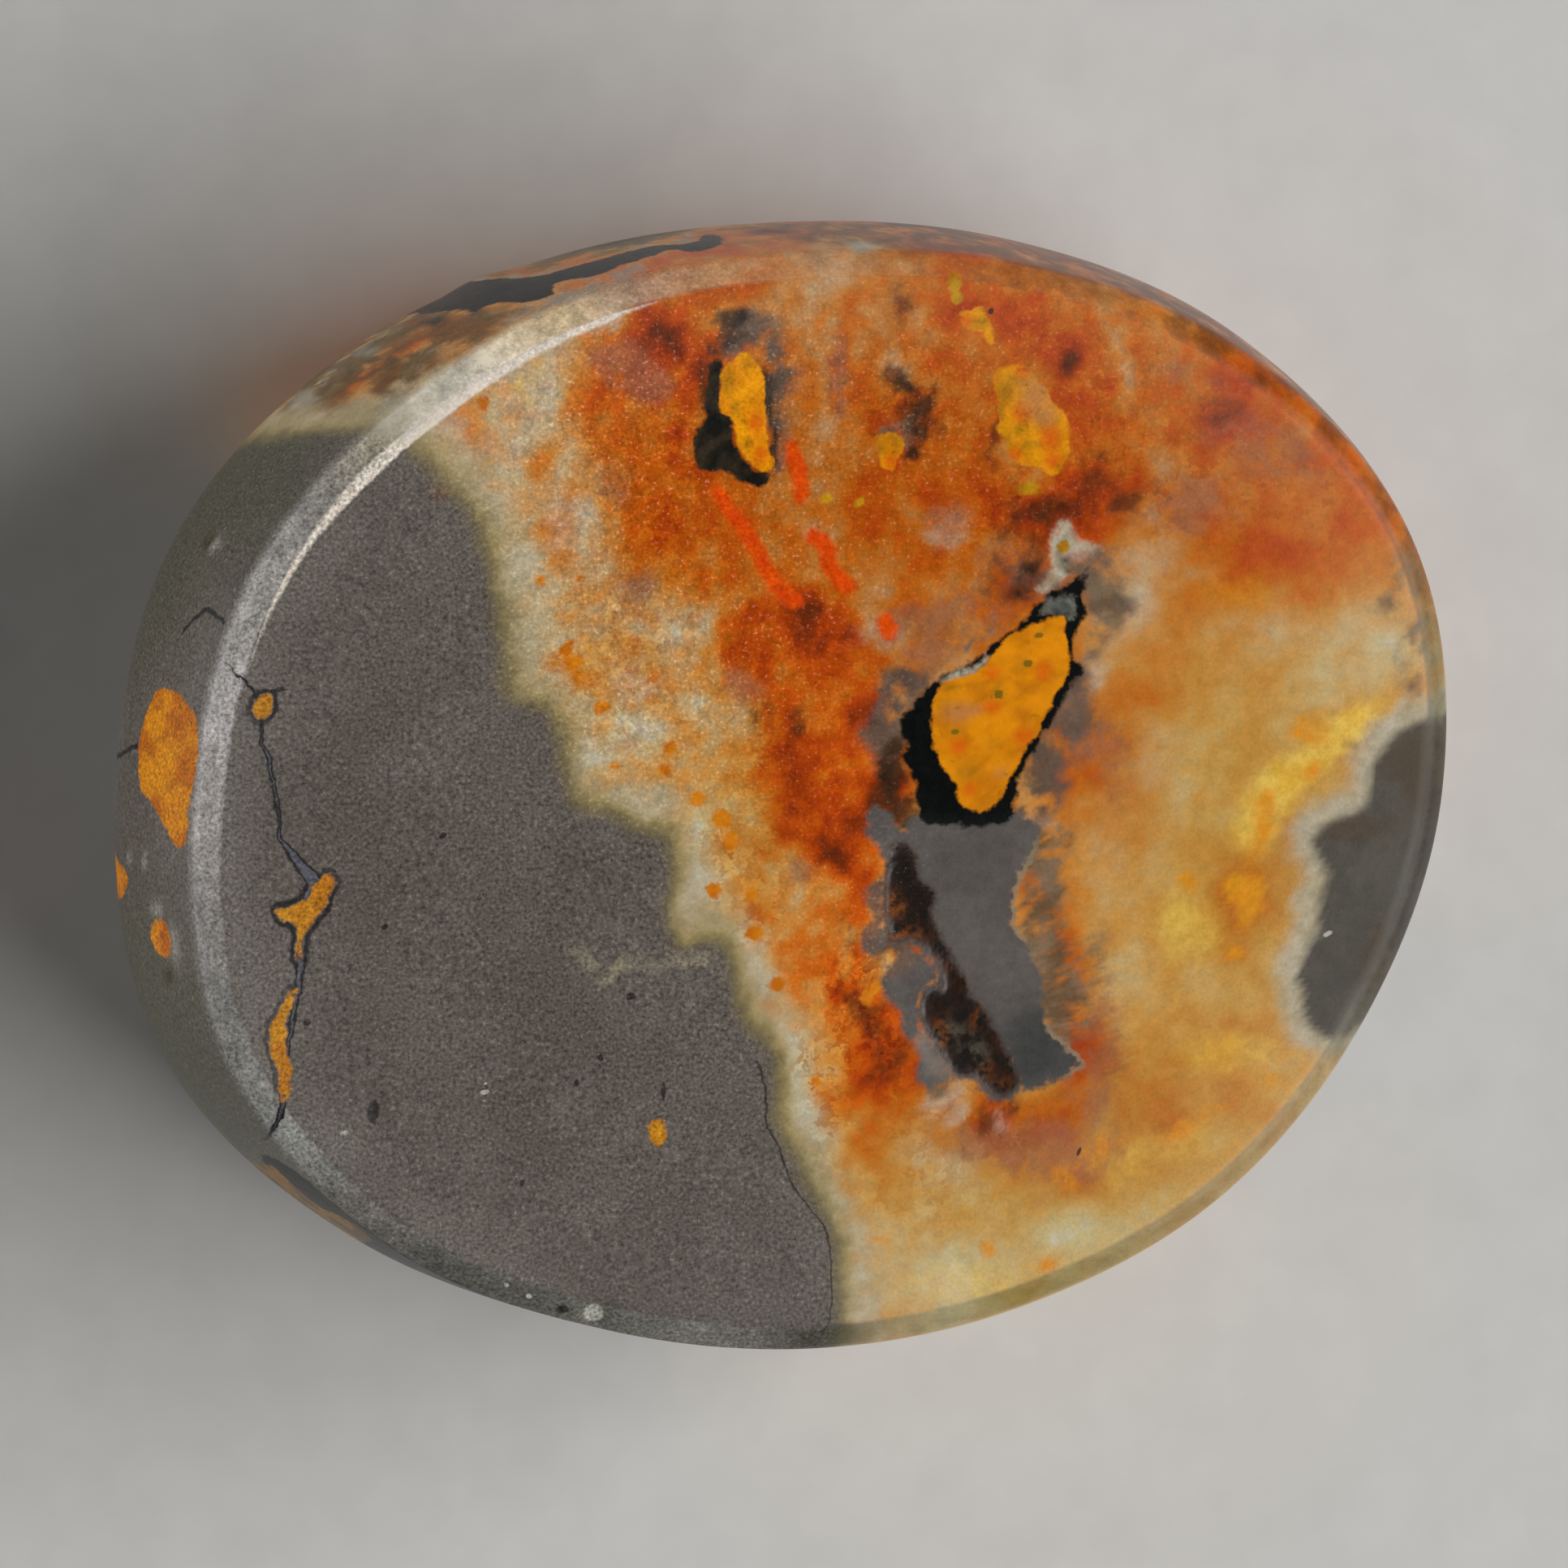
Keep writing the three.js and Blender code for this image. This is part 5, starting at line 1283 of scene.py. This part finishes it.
floor_mesh = bpy.data.meshes.new("studio_floor")
corners = FLOOR_HALF_SIZE * np.array([(-1, -1, 0), (1, -1, 0), (1, 1, 0), (-1, 1, 0)])
floor_mesh.from_pydata(corners.tolist(), [], [(0, 1, 2, 3)])
floor = bpy.data.objects.new("studio_floor", floor_mesh)
bpy.context.scene.collection.objects.link(floor)
paper = bpy.data.materials.new("matt_studio_paper")
paper.use_nodes = True
floor_mesh.materials.append(paper)
paper_shader = paper.node_tree.nodes["Principled BSDF"]
paper_shader.inputs["Roughness"].default_value = 0.9
paper_shader.inputs["Specular IOR Level"].default_value = 0.1
paper_place = put(paper.node_tree, "ShaderNodeTexCoord").outputs["Object"]
fibres = slope(paper.node_tree, noise(paper.node_tree, paper_place, FIBRES_PER_METRE), 0.2, 0.8)
mixed = {0: fibres, 6: PAPER_TONES[0], 7: PAPER_TONES[1]}
paper_colour = put(paper.node_tree, "ShaderNodeMix", mixed, data_type="RGBA").outputs[2]
paper.node_tree.links.new(paper_colour, paper_shader.inputs["Base Color"])

# Light and camera
# A large softbox on the right lights the face and leaves the left side dim. A wide low panel just above the
# floor on the left lights the side and bevel there, and the room adds a little light from all round. The
# camera looks down, leaning 13 degrees to the upper left.
TARGET = Vector((0, 0, 0.5 * THICKNESS * MM))
VIEW_LEAN = 13
VIEW_AZIMUTH = 158
VIEW_DISTANCE = 330 * MM
VIEW_WIDTH = 70.5 * MM
SENSOR_WIDTH = 36.0
VIEW_OFFSET = (0.208 * MM, -0.084 * MM)
ROOM_BRIGHTNESS = 0.04
NEAREST_SEEN = 0.01


def direction(azimuth, elevation):
    """Unit vector towards an azimuth and elevation, both in degrees."""
    a, e = np.radians(azimuth), np.radians(elevation)
    return Vector((np.cos(a) * np.cos(e), np.sin(a) * np.cos(e), np.sin(e)))


def softbox(name, azimuth, elevation, distance, width, height, watts):
    """A rectangular light that faces the stone, its width level. Its distance and size are in metres."""
    lamp = bpy.data.lights.new(name, "AREA")
    lamp.shape = "RECTANGLE"
    lamp.size = width
    lamp.size_y = height
    lamp.energy = watts
    light = bpy.data.objects.new(name, lamp)
    towards = direction(azimuth, elevation)
    facing_stone = towards.to_track_quat("Z", "Y").to_matrix().to_4x4()
    light.matrix_world = Matrix.Translation(TARGET + distance * towards) @ facing_stone
    bpy.context.scene.collection.objects.link(light)


softbox("key_softbox", azimuth=350, elevation=40, distance=0.70, width=0.90, height=0.36, watts=6.6)
softbox("left_panel", azimuth=165, elevation=7, distance=0.50, width=1.00, height=0.08, watts=1.9)

room = bpy.data.worlds.new("dim_room")
room.use_nodes = True
room.node_tree.nodes["Background"].inputs["Color"].default_value = (1, 1, 1, 1)
room.node_tree.nodes["Background"].inputs["Strength"].default_value = ROOM_BRIGHTNESS
bpy.context.scene.world = room
bpy.context.scene.view_settings.view_transform = "Standard"

view_axis = direction(VIEW_AZIMUTH, 90 - VIEW_LEAN)
view_right = Vector((0, 1, 0)).cross(view_axis).normalized()
view_up = view_axis.cross(view_right)
camera_data = bpy.data.cameras.new("camera")
camera_data.sensor_width = SENSOR_WIDTH
camera_data.lens = SENSOR_WIDTH * VIEW_DISTANCE / VIEW_WIDTH
camera_data.clip_start = NEAREST_SEEN
camera = bpy.data.objects.new("camera", camera_data)
stand = TARGET + view_axis * VIEW_DISTANCE + view_right * VIEW_OFFSET[0] + view_up * VIEW_OFFSET[1]
camera.matrix_world = Matrix((view_right, view_up, view_axis)).transposed().to_4x4()
camera.matrix_world.translation = stand
bpy.context.scene.collection.objects.link(camera)
bpy.context.scene.camera = camera
